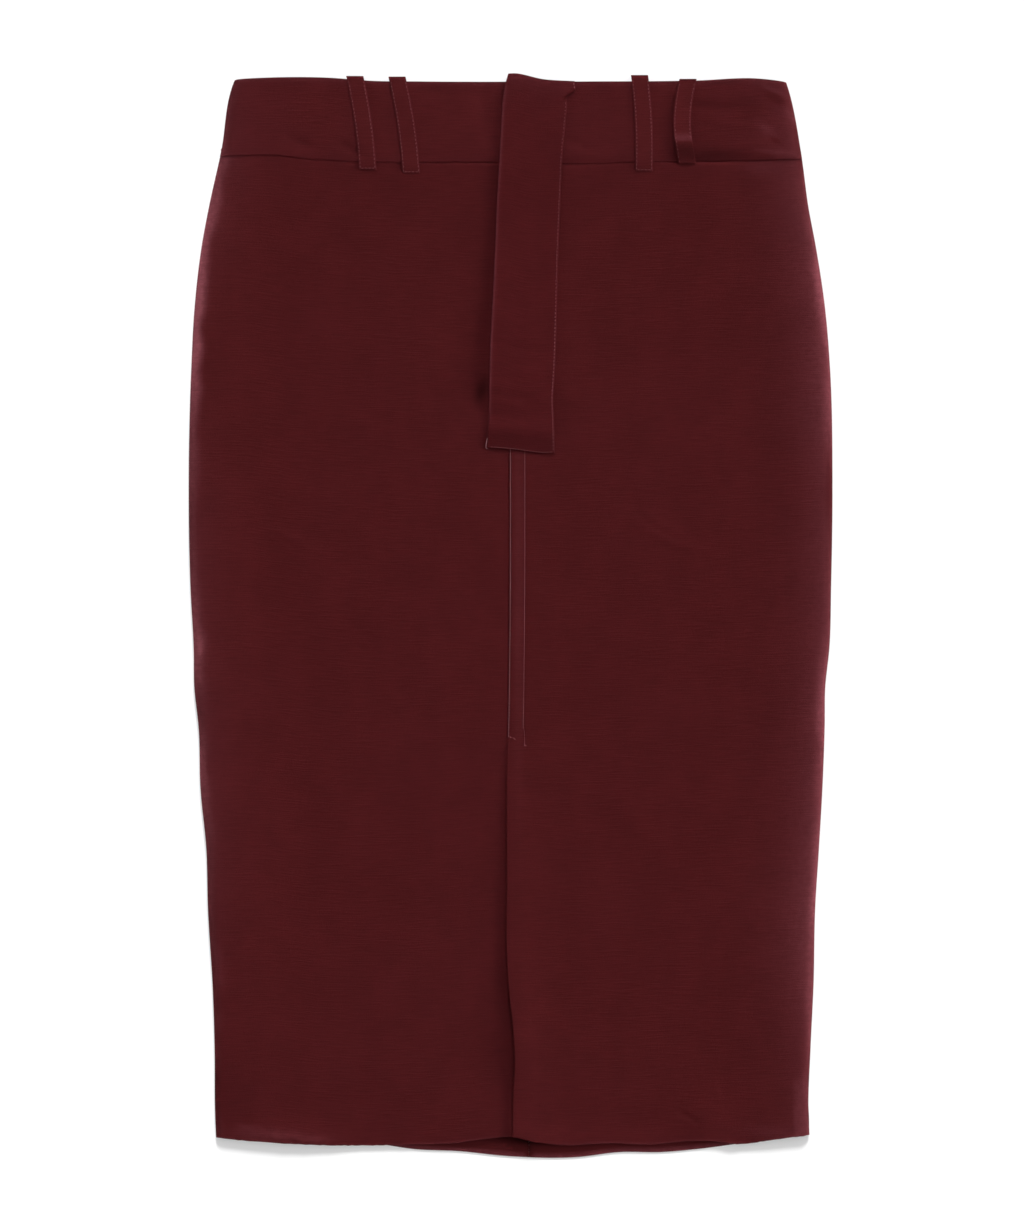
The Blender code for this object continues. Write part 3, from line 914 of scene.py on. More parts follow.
@dataclass
class Wardrobe:
    """The finishes, made once and shared by the pieces."""

    # One cloth in four copies. The loops' copy is lighter, painted light for the light they catch
    # standing off the band; the band's is a little lighter and the tab's a little darker than the
    # panels'.
    panel: ClothFinish = ClothFinish("panel_weave", (0.0352, 0.0046, 0.0052))
    band: ClothFinish = ClothFinish("waistband_weave", (0.0364, 0.0049, 0.0056))
    tab: ClothFinish = ClothFinish("tab_weave", (0.0348, 0.0044, 0.0051))
    loop: ClothFinish = ClothFinish("loop_weave", (0.0388, 0.0053, 0.006))
    thread: ThreadFinish = ThreadFinish()

    def __post_init__(self) -> None:
        """Builds every material."""
        weave, slub = weave_group(), slub_group()
        pairs = ((Slot.PANEL, self.panel), (Slot.BAND, self.band), (Slot.TAB, self.tab),
                 (Slot.LOOP, self.loop))
        self.cloth = {slot: finish.material(weave, slub) for slot, finish in pairs}
        self.sewing = self.thread.material()

    def dress(self, piece: bpy.types.Object, slot: Slot) -> None:
        """Gives a cloth piece the material of its slot, and sets it on the body."""
        self._wear(piece, slot, self.cloth[slot])

    def sew(self, piece: bpy.types.Object, slot: Slot) -> None:
        """Gives a run of stitches its thread, and sets it on the body."""
        self._wear(piece, slot, self.sewing)

    @staticmethod
    def _wear(piece: bpy.types.Object, slot: Slot, material: bpy.types.Material) -> None:
        """Gives a piece its material and its body.

        Args:
            piece: the piece.
            slot: its slot in the record; not used.
            material: its material.
        """
        piece.data.materials.append(material)
        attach(piece, BODY)


def lay_out(shell: Shell, wardrobe: Wardrobe, slot: Slot) -> bpy.types.Object:
    """Builds a cloth piece that stands for the node of the same name, dresses it and hides the
    node.

    Args:
        shell: the piece's surface, named as its node with "_cloth" added.
        wardrobe: the finishes.
        slot: the material slot of its node.

    Returns:
        The piece.
    """
    piece = shell.build()
    wardrobe.dress(piece, slot)
    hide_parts(shell.name.removesuffix("_cloth"))
    return piece


@dataclass
class BackLayer:
    """The two halves of the back and the back waistband, flat on the floor.

    The band's length is a round figure, for the spacing of its columns.
    """

    wardrobe: Wardrobe
    wall: float = 0.0006
    band_wall: float = 0.0018
    pitch: float = 0.004
    seam_top_x: float = 0.004
    seam_hem_x: float = 0.0133
    seam_gap: float = 0.00004
    seam_shade: float = 0.25
    seam_shade_width: float = 0.0008
    band_length: float = 0.41
    inset: float = 0.0004
    waist_down: float = 0.0015
    # Painted highlight along the back hem's edge.
    hem_highlight: float = 0.3
    hem_highlight_width: float = 0.0022
    # Painted shade on the back hem strip, darkest where the lifted front hem stands over it.
    painted_patches: tuple[Crease, ...] = crease_set(
        (0.013, 0.762, 0.019, 0.0034, 90.0, -0.75), (0.045, 0.765, 0.02, 0.0022, 90.0, -0.2),
        (-0.0436, 0.7655, 0.02, 0.0015, 90.0, -0.1),
    )

    def panel(self, side: Side) -> Shell:
        """One half: blends from the centre-back seam to the outline and from waist seam to hem.

        Args:
            side: which half.

        Returns:
            Its surface.
        """
        length = CUT.lowest_down - CUT.seam_down
        share = spaced(length, self.pitch, self.wall)[:, None]
        down = blend(CUT.seam_down, CUT.lowest_down, share)
        seam = blend(self.seam_top_x, self.seam_hem_x, share) + side.value * self.seam_gap / 2
        outer = side.value * (CUT.reach(side, down) - self.inset)
        across = spaced(float(np.ptp([seam.min(), outer.min()])), self.pitch, self.wall)
        x = blend(seam, outer, across)
        foot = CUT.back_hem.at(x)
        lines = blend(CUT.waist_seam.at(x), foot, share)
        points = CUT.to_points(x, lines, self.wall)[:, ::side.value]
        # Painted light: shade patches at the hem, a highlight along the hem's edge and shade along
        # the centre-back seam.
        rub = creased(self.painted_patches, x, lines)
        rub = rub + self.hem_highlight * bell(foot - lines, self.hem_highlight_width)
        rub = rub - self.seam_shade * bell(x - seam, self.seam_shade_width)
        name = f"back_{side.name.lower()}_cloth"
        return Shell(name, points, self.wall, rub[:, ::side.value])

    def band(self) -> Shell:
        """The back waistband: one strip that blends from side to side and from top to seam.

        Returns:
            Its surface.
        """
        share = spaced(CUT.seam_down, self.pitch, self.band_wall)[:, None]
        down = blend(self.waist_down, CUT.seam_down, share)
        left = -CUT.reach(Side.LEFT, down) + self.inset
        right = CUT.reach(Side.RIGHT, down) - self.inset
        x = blend(left, right, spaced(self.band_length, self.pitch, self.band_wall))
        lines = blend(self.waist_down, CUT.waist_seam.at(x), share)
        points = CUT.to_points(x, lines, self.band_wall)
        return Shell("waistband_back_cloth", points, self.band_wall)

    def build(self) -> None:
        """Builds the back's three pieces."""
        for side in Side:
            lay_out(self.panel(side), self.wardrobe, Slot.PANEL)
        lay_out(self.band(), self.wardrobe, Slot.BAND)


def rolled(
    x: Grid, height: Grid, reach: Grid, roll: Grid, low: float, steps: int
) -> tuple[Grid, Grid]:
    """Adds the swell towards one side and the side roll to a grid that runs from the inside out.

    The height swells to the roll's over the swell reach. The roll is a quarter of an ellipse, as
    wide as the stretch times its height, and ends in a short upright foot.

    Args:
        x: distances from the middle, one row for each section.
        height: heights there.
        reach: the outline's distance from the middle.
        roll: height of the roll.
        low: height of its lower edge.
        steps: steps round the roll.

    Returns:
        The distances and heights with the roll's columns added.
    """
    foot = CUT.roll_foot
    width = CUT.roll_stretch * (roll - low)
    start = reach - width
    height = blend(height, roll, ease(start - CUT.swell_reach, start, x))
    turn = np.linspace(0.0, math.pi / 2, steps + 1)[1:]
    roll_x = start + width * np.sin(turn)
    roll_z = np.broadcast_to(low + foot + (roll - low - foot) * np.cos(turn), roll_x.shape)
    feet = np.linspace(1.0, 0.0, FOOT_STEPS + 1)[1:]
    foot_x = np.broadcast_to(reach, (len(reach), len(feet)))
    foot_z = low + foot * np.broadcast_to(feet, foot_x.shape)
    return np.hstack([x, roll_x, foot_x]), np.hstack([height, roll_z, foot_z])


@dataclass(frozen=True)
class WaistSeam:
    """The waist seam: its puckers, how the cloth dips to it and how an edge runs on under it."""

    pucker: Ripple = Ripple(0.00022, (0.0065, 1.0), 3)
    pucker_fade: tuple[float, float] = (0.185, 0.2)
    sway: Ripple = Ripple(0.00005, (0.021, 1.0), 5)
    tuck: tuple[float, float] = (-0.0009, 0.0007)
    tuck_shift: Line = Line((
        (-0.21, 0.0005), (-0.165, 0.0005), (-0.145, 0.0001), (-0.12, 0.0), (-0.1, 0.0004),
        (-0.078, 0.0003), (-0.06, 0.0), (0.07, 0.0), (0.085, 0.0003), (0.105, 0.0001),
        (0.165, 0.0), (0.185, 0.0003), (0.21, 0.0004),
    ))
    depth: Line = Line((
        (-0.205, 0.0), (-0.165, 0.0001), (-0.15, 0.0003), (-0.13, 0.0003), (-0.114, 0.0003),
        (-0.09, 0.0001), (-0.05, 0.0003), (-0.03, 0.0003), (0.04, 0.0006), (0.065, 0.0006),
        (0.09, 0.0003), (0.11, 0.0006), (0.135, 0.0012), (0.155, 0.0012), (0.175, 0.0008),
        (0.2, 0.0003),
    ))

    def line(self, x: Grid) -> Grid:
        """The seam with its small puckers, which fade out near the sides."""
        pucker = self.pucker.along(x) * (1.0 - ease(*self.pucker_fade, np.abs(x)))
        return CUT.waist_seam.at(x) + pucker

    def dip(self, x: Grid, past: Grid, reach: Line) -> Grid:
        """How far the cloth sinks towards the seam: its depth times a bell of the distance.

        Args:
            x: places across.
            past: distances from the seam.
            reach: the bell's width, by x.

        Returns:
            The dip at each place.
        """
        return (self.depth.at(x) + self.sway.along(x)) * bell(past, reach.at(x))

    def tucked(self, points: Grid, past: Grid, depth: float) -> Grid:
        """Sinks a seam's edge along its normals, so that it runs on under the neighbouring piece.

        Args:
            points: the grid.
            past: distance of each row past the seam, negative before it.
            depth: how deep it goes.

        Returns:
            The sunk grid.
        """
        sink = depth * ease(*self.tuck, past[:, None] - self.tuck_shift.at(points[..., 0]))
        return points - grid_normals(points) * sink[..., None]


SEAM = WaistSeam()


@dataclass(frozen=True)
class Rim:
    """A painted highlight along one side fold, painted shade where a share is below 0: a narrow
    and a wide share, each along the down of its rows.
    """

    narrow: Line
    wide: Line
    narrow_width: float
    wide_width: float
    waver: Ripple

    def at(self, inside: Grid, down: Grid) -> Grid:
        """Reads the painted highlight: narrow exp(-(d / width)^3) + wide exp(-d / width), d inside
        the outline.

        The first width wavers down the fold by the share 1 + ripple.

        Args:
            inside: distance inside the outline.
            down: how far down the garment.

        Returns:
            The painted highlight.
        """
        inside = np.maximum(inside, 0.0)
        width = self.narrow_width * (1.0 + self.waver.at(np.zeros_like(inside), down))
        near = self.narrow.at(down) * np.exp(-((inside / width) ** 3))
        return near + self.wide.at(down) * np.exp(-inside / self.wide_width)


LEFT_WAVER = Ripple(0.32, (0.015, 0.015), 31)
RIGHT_WAVER = Ripple(0.32, (0.015, 0.015), 47)


@dataclass
class FrontLayer:
    """The two front panels with their side rolls, the lap at the centre and the vent below it.

    Bands of columns are given by their first and last distance from the inner edge and their step,
    and slopes by where they start and end, from the line they belong to.
    """

    wardrobe: Wardrobe
    wall: float = 0.0006
    lowest: float = 0.00135
    lap_well: float = 0.0004
    pitch: float = 0.0025
    roll_steps: int = 14
    seam_rows: tuple[float, ...] = (
        -0.004, -0.002, -0.001, -0.0005, 0.0, 0.0004, 0.0008, 0.0012, 0.0018, 0.0025, 0.0033)
    body_from: float = 0.0038
    fine_rows: float = 0.024
    fine_pitch: float = 0.0011
    fine_gap: float = 0.0006
    close_columns: tuple[float, float, float] = (0.001, 0.015, 0.0007)
    taper_columns: tuple[float, float, float] = (0.016, 0.046, 0.0016)
    tuck_length: float = 0.006
    tuck_depth: float = 0.0007
    low: float = 0.00105
    lap_well_edge: tuple[float, float] = (-0.001, 0.0006)
    stitch_inset: tuple[float, float] = (0.0005, 0.0109)
    stitch_sink: float = 0.00018
    stitch_width: float = 0.0009
    stitch_fade: float = 0.004
    waves: Ripple = Ripple(0.00012, (0.03, 0.019), 11)
    hem_reach: float = 0.012
    hem_wave: Ripple = Ripple(0.00022, (0.0026, 1.0), 8)
    # Painted highlight along the front hem's edge.
    hem_highlight: float = 0.13
    hem_highlight_width: float = 0.001
    # Where the hem's painted highlight is held back: near the vent, where the lifted hem edge lies
    # in shade.
    highlight_gap_x: float = 0.013
    highlight_gap_width: float = 0.021
    highlight_gap_share: float = 0.95
    ridge_x: float = 0.2042
    ridge_from: float = 0.712
    ridge_fade: float = 0.014
    ridge_height: float = 0.0006
    ridge_slope: tuple[float, float] = (-0.0005, 0.0004)
    # Painted highlight on the ridge's slope.
    ridge_highlight: float = 0.12
    ridge_highlight_slope: tuple[float, float] = (-0.0002, 0.0008)
    vent_lift: Line = Line((
        (0.474, 0.0), (0.49, 0.0007), (0.52, 0.0013), (0.57, 0.0018), (0.62, 0.0023),
        (0.66, 0.0034), (0.69, 0.0044), (0.72, 0.003), (0.766, 0.002),
    ))
    hem_lift: Line = Line((
        (-0.2118, 0.0), (-0.2, 0.001), (-0.17, 0.0014), (-0.135, 0.0009), (-0.11, 0.0),
        (-0.07, 0.0002), (-0.045, 0.0008), (-0.005, 0.0012), (0.014, 0.0021), (0.03, 0.0012),
        (0.06, 0.0006), (0.08, 0.0009), (0.12, 0.0004), (0.145, 0.0008), (0.17, 0.0003),
        (0.195, 0.001), (0.2156, 0.0),
    ))
    # Painted highlights along the side folds, with painted shade where a share is below 0.
    rims: tuple[Rim, Rim] = (
        Rim(Line(((0.058, 0.35), (0.11, 0.7), (0.16, 1.0), (0.2, 0.98), (0.245, 0.52),
                  (0.29, 0.3), (0.325, 0.18), (0.375, 0.4), (0.41, 0.5), (0.455, 0.1),
                  (0.495, 0.5), (0.54, 0.2), (0.62, 0.12), (0.69, 0.1), (0.766, 0.08))),
            Line(((0.058, 0.16), (0.11, 0.14), (0.16, 0.06), (0.2, 0.03), (0.29, 0.09),
                  (0.54, 0.1), (0.62, 0.06), (0.67, 0.0), (0.766, 0.0))),
            0.0062, 0.013, LEFT_WAVER),
        Rim(Line(((0.058, -0.06), (0.11, 0.08), (0.15, 0.4), (0.2, 0.18), (0.24, 0.12),
                  (0.285, -0.12), (0.33, -0.06), (0.4, 0.1), (0.455, 0.34), (0.5, 0.14),
                  (0.585, 0.32), (0.63, 0.1), (0.67, 0.2), (0.72, 0.1), (0.766, 0.08))),
            Line(((0.058, 0.2), (0.11, 0.3), (0.19, 0.37), (0.24, 0.4), (0.29, 0.22),
                  (0.33, 0.24), (0.45, 0.27), (0.54, 0.33), (0.625, 0.38), (0.675, 0.21),
                  (0.71, 0.13), (0.766, 0.08))),
            0.005, 0.015, RIGHT_WAVER),
    )
    # Patches of painted light: pale ones are painted highlights on folds, hem wrinkles and between
    # the centre-front rows; dark ones are painted shade beside the tab's left edge and right of
    # its lower part, and one makes the cloth darker low on the left side.
    painted_patches: tuple[Crease, ...] = crease_set(
        (0.0056, 0.364, 0.12, 0.004, 0.0, 0.07),
        (-0.2228, 0.412, 0.017, 0.0028, 3.0, 0.22, -0.002),
        (-0.1915, 0.7518, 0.007, 0.0016, 74.0, 0.07, 0.002),
        (-0.17, 0.7562, 0.0042, 0.0012, 55.0, 0.05, 0.001),
        (-0.153, 0.7566, 0.004, 0.0012, 58.0, 0.04), (-0.188, 0.756, 0.013, 0.0055, 84.0, 0.1),
        (-0.165, 0.7585, 0.015, 0.0045, 86.0, 0.1), (-0.14, 0.761, 0.011, 0.003, 88.0, 0.1),
        (0.19, 0.756, 0.02, 0.004, 84.0, 0.08), (-0.0209, 0.2218, 0.0085, 0.004, -20.0, -0.55),
        (0.18, 0.0625, 0.012, 0.005, 88.0, 0.07), (-0.198, 0.724, 0.023, 0.018, 0.0, -0.1),
        (0.037, 0.24, 0.02, 0.007, 0.0, -0.1),
    )
    dip_reach: Line = Line(((-0.2, 0.0022), (0.2, 0.0022)))
    creases: tuple[Crease, ...] = crease_set(
        (-0.16, 0.333, 0.012, 0.0022, 62.0, -0.0004, 0.001),
        (0.108, 0.322, 0.017, 0.0024, 60.0, -0.0005, 0.002),
        (0.118, 0.331, 0.012, 0.002, 66.0, 0.0003, 0.001),
        (-0.022, 0.19, 0.03, 0.006, -3.0, -0.0004),
        (-0.193, 0.748, 0.009, 0.0024, 60.0, 0.0006, 0.002),
        (-0.175, 0.752, 0.008, 0.002, 40.0, -0.0005, -0.001),
        (-0.17, 0.75, 0.005, 0.0018, -20.0, 0.0005),
        (-0.1915, 0.7518, 0.007, 0.0017, 74.0, 0.0009, 0.002),
        (-0.1785, 0.7545, 0.004, 0.0015, 125.0, 0.0009, -0.001),
        (-0.17, 0.7562, 0.0042, 0.0015, 55.0, 0.0009, 0.001),
        (-0.1615, 0.7553, 0.0038, 0.0015, 130.0, 0.0008),
        (-0.153, 0.7566, 0.004, 0.0014, 58.0, 0.0008),
        (-0.143, 0.757, 0.005, 0.0014, 104.0, 0.0007), (-0.2, 0.735, 0.02, 0.009, 4.0, -0.0005),
        (-0.003, 0.685, 0.04, 0.006, -3.0, -0.0003), (0.001, 0.74, 0.025, 0.005, 0.0, -0.0003),
        (0.127, 0.742, 0.007, 0.002, 55.0, -0.0005), (0.149, 0.726, 0.006, 0.0012, 10.0, 0.0003),
        (0.161, 0.761, 0.007, 0.0022, 70.0, 0.0008), (0.195, 0.759, 0.007, 0.002, 85.0, -0.0005),
        (0.208, 0.27, 0.05, 0.004, 4.0, 0.0005), (0.209, 0.455, 0.038, 0.004, 5.0, 0.0006),
        (-0.209, 0.438, 0.03, 0.004, 3.0, 0.0005),
    )

    def rows(self) -> tuple[Grid, Grid]:
        """Spaces the rows: close at the waist seam, where they run on under the band, and the hem.

        Returns:
            The nominal down of each row, and how far it lies past the waist seam, under the band.
        """
        edge = edge_steps(self.wall)
        length = CUT.hem_down - CUT.seam_down
        shares = spaced(length, self.pitch, self.wall)
        body = shares[1 + np.searchsorted(shares * length, edge[-1]):] * length
        foot = length - edge[::-1]
        fine = np.arange(length - self.fine_rows, foot[0] - self.fine_gap, self.fine_pitch)
        body = body[(body > self.body_from) & (body < fine[0] - self.fine_gap)]
        past = np.concatenate([-self.tuck_length + edge, self.seam_rows, body, fine, foot])
        return CUT.seam_down + np.maximum(past, 0.0), -past

    def sections(self, side: Side, down: Grid, start: Grid) -> tuple[Grid, Grid]:
        """Spaces the columns: close at the inner edge and its stitching, and even from there on.

        Args:
            side: which panel.
            down: how far down each row lies, as a column.
            start: where its side roll starts, as a distance from the middle.

        Returns:
            The distances from the middle of each row's places, and of its inner edge.
        """
        edge = CUT.lap_edge.at(down) if side is Side.RIGHT else CUT.lap_end(down)
        edge = side.value * edge
        bands = (np.arange(*self.close_columns), np.arange(*self.taper_columns))
        near = np.concatenate([edge_steps(self.wall), *bands])
        far_from = edge + near[-1]
        count = round(float((start - far_from).mean()) / self.pitch)
        far = np.linspace(0.0, 1.0, count + 1)[1:]
        return np.hstack([edge + near, blend(far_from, start, far)]), edge

    def hem(self, side: Side, x: Grid) -> Grid:
        """The hem line with its slightly frayed wave."""
        return CUT.hems[side.index].at(x) + self.hem_wave.along(x)

    def above_hem(self, side: Side, x: Grid, share: Grid) -> Grid:
        """How far above the hem a share of the way down from the waist seam lies."""
        return (self.hem(side, x) - CUT.waist_seam.at(x)) * (1.0 - share)

    def height(self, side: Side, x: Grid, down: Grid) -> Grid:
        """Outer height inside the roll, with its folds, before its edges shape it."""
        base = CUT.lapped_height if side is Side.RIGHT else CUT.panel_height
        return base(x, down) + creased(self.creases, x, down) + self.waves.at(x, down)

    def ridge(self, size: float, slope: tuple[float, float], x: Grid, down: Grid) -> Grid:
        """Eases in the ridge beside the right edge, low down: size times both eases.

        Args:
            size: how high it is, or how pale its painted highlight is.
            slope: where it rises, from its line.
            x: places across.
            down: places down.

        Returns:
            Its height or its painted highlight at each place.
        """
        rise = ease(self.ridge_x + slope[0], self.ridge_x + slope[1], x)
        return size * rise * ease(self.ridge_from, self.ridge_from + self.ridge_fade, down)

    def shaped(self, side: Side, x: Grid, edge: Grid, down: Grid, share: Grid) -> Grid:
        """Outer height with all that shapes it inside the roll.

        Both panels lift at the hem and dip to the waist seam. The left one sinks under the lap.
        The right one lifts along its vent, sinks at each row of stitches and has a side ridge.

        Args:
            side: which panel.
            x: distances from the middle.
            edge: that of the inner edge.
            down: places down, as a column.
            share: their shares of the way from the waist seam to the hem.

        Returns:
            The height at each place.
        """
        across, along = side.value * x, np.broadcast_to(down, x.shape)
        lift = self.hem_lift.at(across) * bell(self.above_hem(side, across, share), self.hem_reach)
        height = self.height(side, across, along) + lift
        height = height - SEAM.dip(across, along - CUT.seam_down, self.dip_reach)
        if side is Side.LEFT:
            under = ease(*self.lap_well_edge, across - CUT.lap_edge.at(down))
            return np.maximum(height - self.lap_well * under, self.lowest)
        height = height + self.vent_lift.at(down) * bell(x - edge, CUT.vent_reach)
        above = 1.0 - ease(CUT.vent_top - self.stitch_fade, CUT.vent_top, along)
        for inset in self.stitch_inset:
            height = height - self.stitch_sink * bell(x - edge - inset, self.stitch_width) * above
        height = height + self.ridge(self.ridge_height, self.ridge_slope, across, along)
        return np.maximum(height, self.lowest)

    def rub(self, side: Side, x: Grid, lines: Grid, down: Grid, share: Grid) -> Grid:
        """Painted light: the highlight along its side fold, its painted patches, the highlight
        along its hem and the one on its ridge.

        Args:
            side: which panel.
            x: distances from the middle.
            lines: places down.
            down: nominal places down, as a column.
            share: their shares of the way from the waist seam to the hem.

        Returns:
            The painted light at each place.
        """
        across = side.value * x
        rub = self.rims[side.index].at(CUT.reach(side, down) - x, down)
        rub = rub + creased(self.painted_patches, across, lines)
        painted = 1.0 - self.highlight_gap_share * bell(across - self.highlight_gap_x, self.highlight_gap_width)
        above_hem = self.above_hem(side, across, share)
        rub = rub + self.hem_highlight * painted * bell(above_hem, self.hem_highlight_width)
        if side is Side.RIGHT:
            rub = rub + self.ridge(self.ridge_highlight, self.ridge_highlight_slope, across, lines)
        return rub

    def panel(self, side: Side) -> Shell:
        """One front panel, from its inner edge out to the foot of its roll.

        Args:
            side: which panel.

        Returns:
            Its surface.
        """
        nominal, past = self.rows()
        down = nominal[:, None]
        share = (down - CUT.seam_down) / (CUT.hem_down - CUT.seam_down)
        reach, roll = CUT.reach(side, down), CUT.roll(side, down)
        x, edge = self.sections(side, down, reach - CUT.roll_stretch * (roll - self.low))
        height = self.shaped(side, x, edge, down, share)
        x, z = rolled(x, height, reach, roll, self.low, self.roll_steps)
        across = side.value * x
        lines = blend(SEAM.line(across), self.hem(side, across), share)
        lines = lines - np.maximum(past, 0.0)[:, None]
        points = CUT.to_points(across, lines, z)[:, ::side.value]
        points = SEAM.tucked(points, past, self.tuck_depth)
        rub = self.rub(side, x, lines, down, share)[:, ::side.value]
        return Shell(f"front_{side.name.lower()}_cloth", points, self.wall, rub)

    def build(self) -> None:
        """Builds both panels."""
        lay_out(self.panel(Side.LEFT), self.wardrobe, Slot.PANEL)
        lay_out(self.panel(Side.RIGHT), self.wardrobe, Slot.PANEL)


@dataclass
class Waistband:
    """The two halves of the front waistband, which meet under the tab.

    The half length is a round figure, for the spacing of the columns.
    """

    wardrobe: Wardrobe
    wall: float = 0.0008
    pitch: float = 0.0016
    roll_steps: int = 14
    low: float = 0.00185
    gap: float = 0.0001
    half_length: float = 0.19
    shortest_step: float = 1e-5
    waves: Ripple = Ripple(0.00016, (0.022, 0.014), 21)
    # Paler along the top edge.
    top_paling: float = 0.1
    top_paling_width: float = 0.0026
    # Patches of painted light: painted shade along the seam beyond the fourth loop and beside the
    # tab's ear, and painted highlights and shade on the wrinkles towards the right end.
    painted_patches: tuple[Crease, ...] = crease_set(
        (0.137, 0.056, 0.024, 0.0055, 90.0, -0.1), (0.15, 0.054, 0.019, 0.0055, 90.0, -0.3),
        (0.1886, 0.0065, 0.0105, 0.002, 67.0, 0.11), (0.1912, 0.0122, 0.0075, 0.0032, 60.0, -0.13),
        (0.2016, 0.0248, 0.005, 0.002, 28.0, 0.15), (0.1847, 0.0353, 0.008, 0.0035, 48.0, 0.09),
        (0.1904, 0.0425, 0.004, 0.0015, 60.0, -0.14), (0.1904, 0.0511, 0.017, 0.0016, 85.0, 0.11),
        (0.178, 0.0555, 0.012, 0.0035, 90.0, -0.08), (0.041, 0.0085, 0.0045, 0.003, 40.0, -0.12),
        (0.153, 0.0205, 0.02, 0.0045, 88.0, -0.07),
    )
    dip_reach: Line = Line((
        (-0.2, 0.002), (-0.1, 0.004), (-0.03, 0.005), (0.05, 0.004), (0.09, 0.004), (0.135, 0.008),
        (0.155, 0.008), (0.175, 0.006), (0.2, 0.004),
    ))
    # Painted highlights along the band's side rolls, with painted shade where a share is below 0.
    rims: tuple[Rim, Rim] = (
        Rim(Line(((0.0, 0.08), (0.058, 0.2))), Line(((0.0, 0.04), (0.058, 0.1))),
            0.0048, 0.013, LEFT_WAVER),
        Rim(Line(((0.0, 0.02), (0.058, -0.06))), Line(((0.0, 0.1), (0.058, 0.18))),
            0.0048, 0.015, RIGHT_WAVER),
    )
    creases: tuple[Crease, ...] = crease_set(
        (0.153, 0.0205, 0.019, 0.0028, 88.0, -0.0006, 0.001),
        (0.145, 0.014, 0.012, 0.0055, 86.0, 0.0006),
        (0.194, 0.017, 0.011, 0.0028, -22.0, 0.0007, 0.002),
        (0.185, 0.027, 0.008, 0.0025, 55.0, 0.0005, -0.002),
        (0.196, 0.04, 0.009, 0.0028, -10.0, -0.0005), (0.17, 0.052, 0.016, 0.0026, 84.0, 0.0004),
        (0.186, 0.006, 0.012, 0.003, 62.0, 0.0006, 0.001),
        (0.19, 0.035, 0.0085, 0.0035, 40.0, -0.0007),
        (0.183, 0.047, 0.016, 0.0028, 88.0, 0.0007, -0.001),
        (0.162, 0.033, 0.02, 0.004, 80.0, 0.0003, 0.002),
        (-0.019, 0.02, 0.02, 0.006, 6.0, -0.0006), (-0.114, 0.05, 0.009, 0.0035, 60.0, -0.0006),
        (-0.15, 0.048, 0.011, 0.003, 75.0, -0.0005, 0.001),
        (-0.18, 0.025, 0.014, 0.005, 30.0, 0.0004), (0.048, 0.044, 0.014, 0.0035, 70.0, -0.0004),
        (-0.05, 0.008, 0.022, 0.004, 85.0, -0.0005),
    )

    def height(self, x: Grid, down: Grid) -> Grid:
        """Outer height inside the roll, with its folds, before its seam shapes it."""
        return CUT.band_height(x, down) + creased(self.creases, x, down) + self.waves.at(x, down)

    def half(self, side: Side) -> Shell:
        """One half, from the middle out to the foot of its roll.

        Args:
            side: which half.

        Returns:
            Its surface.
        """
        share = spaced(CUT.seam_down, self.pitch, self.wall)[:, None]
        down = blend(0.0, CUT.seam_down, share)
        reach = CUT.reach(side, down)
        start = reach - CUT.roll_stretch * (CUT.band_roll - self.low)
        inner = spaced(self.half_length, self.pitch, self.wall)
        x = blend(self.gap, start, inner[: 1 - ROUNDING_STEPS])
        if x[0, -1] < start[0, 0] - self.shortest_step:
            x = np.hstack([x, start])
        across, along = side.value * x, np.broadcast_to(down, x.shape)
        dip = SEAM.dip(across, CUT.seam_down - along, self.dip_reach)
        roll = np.full_like(reach, CUT.band_roll)
        height = self.height(across, along) - dip
        x, z = rolled(x, height, reach, roll, self.low, self.roll_steps)
        across = side.value * x
        lines = blend(CUT.waist_edge.at(across), SEAM.line(across), share)
        # Painted light: highlights along the side roll, the paler top edge and the painted
        # patches.
        rub = self.rims[side.index].at(reach - x, down)
        rub = rub + self.top_paling * bell(down, self.top_paling_width)
        rub = rub + creased(self.painted_patches, across, lines)
        points = CUT.to_points(across, lines, z)[:, ::side.value]
        name = f"waistband_front_{side.name.lower()}_cloth"
        return Shell(name, points, self.wall, rub[:, ::side.value])

    def build(self) -> None:
        """Builds both halves."""
        for side in Side:
            lay_out(self.half(side), self.wardrobe, Slot.BAND)


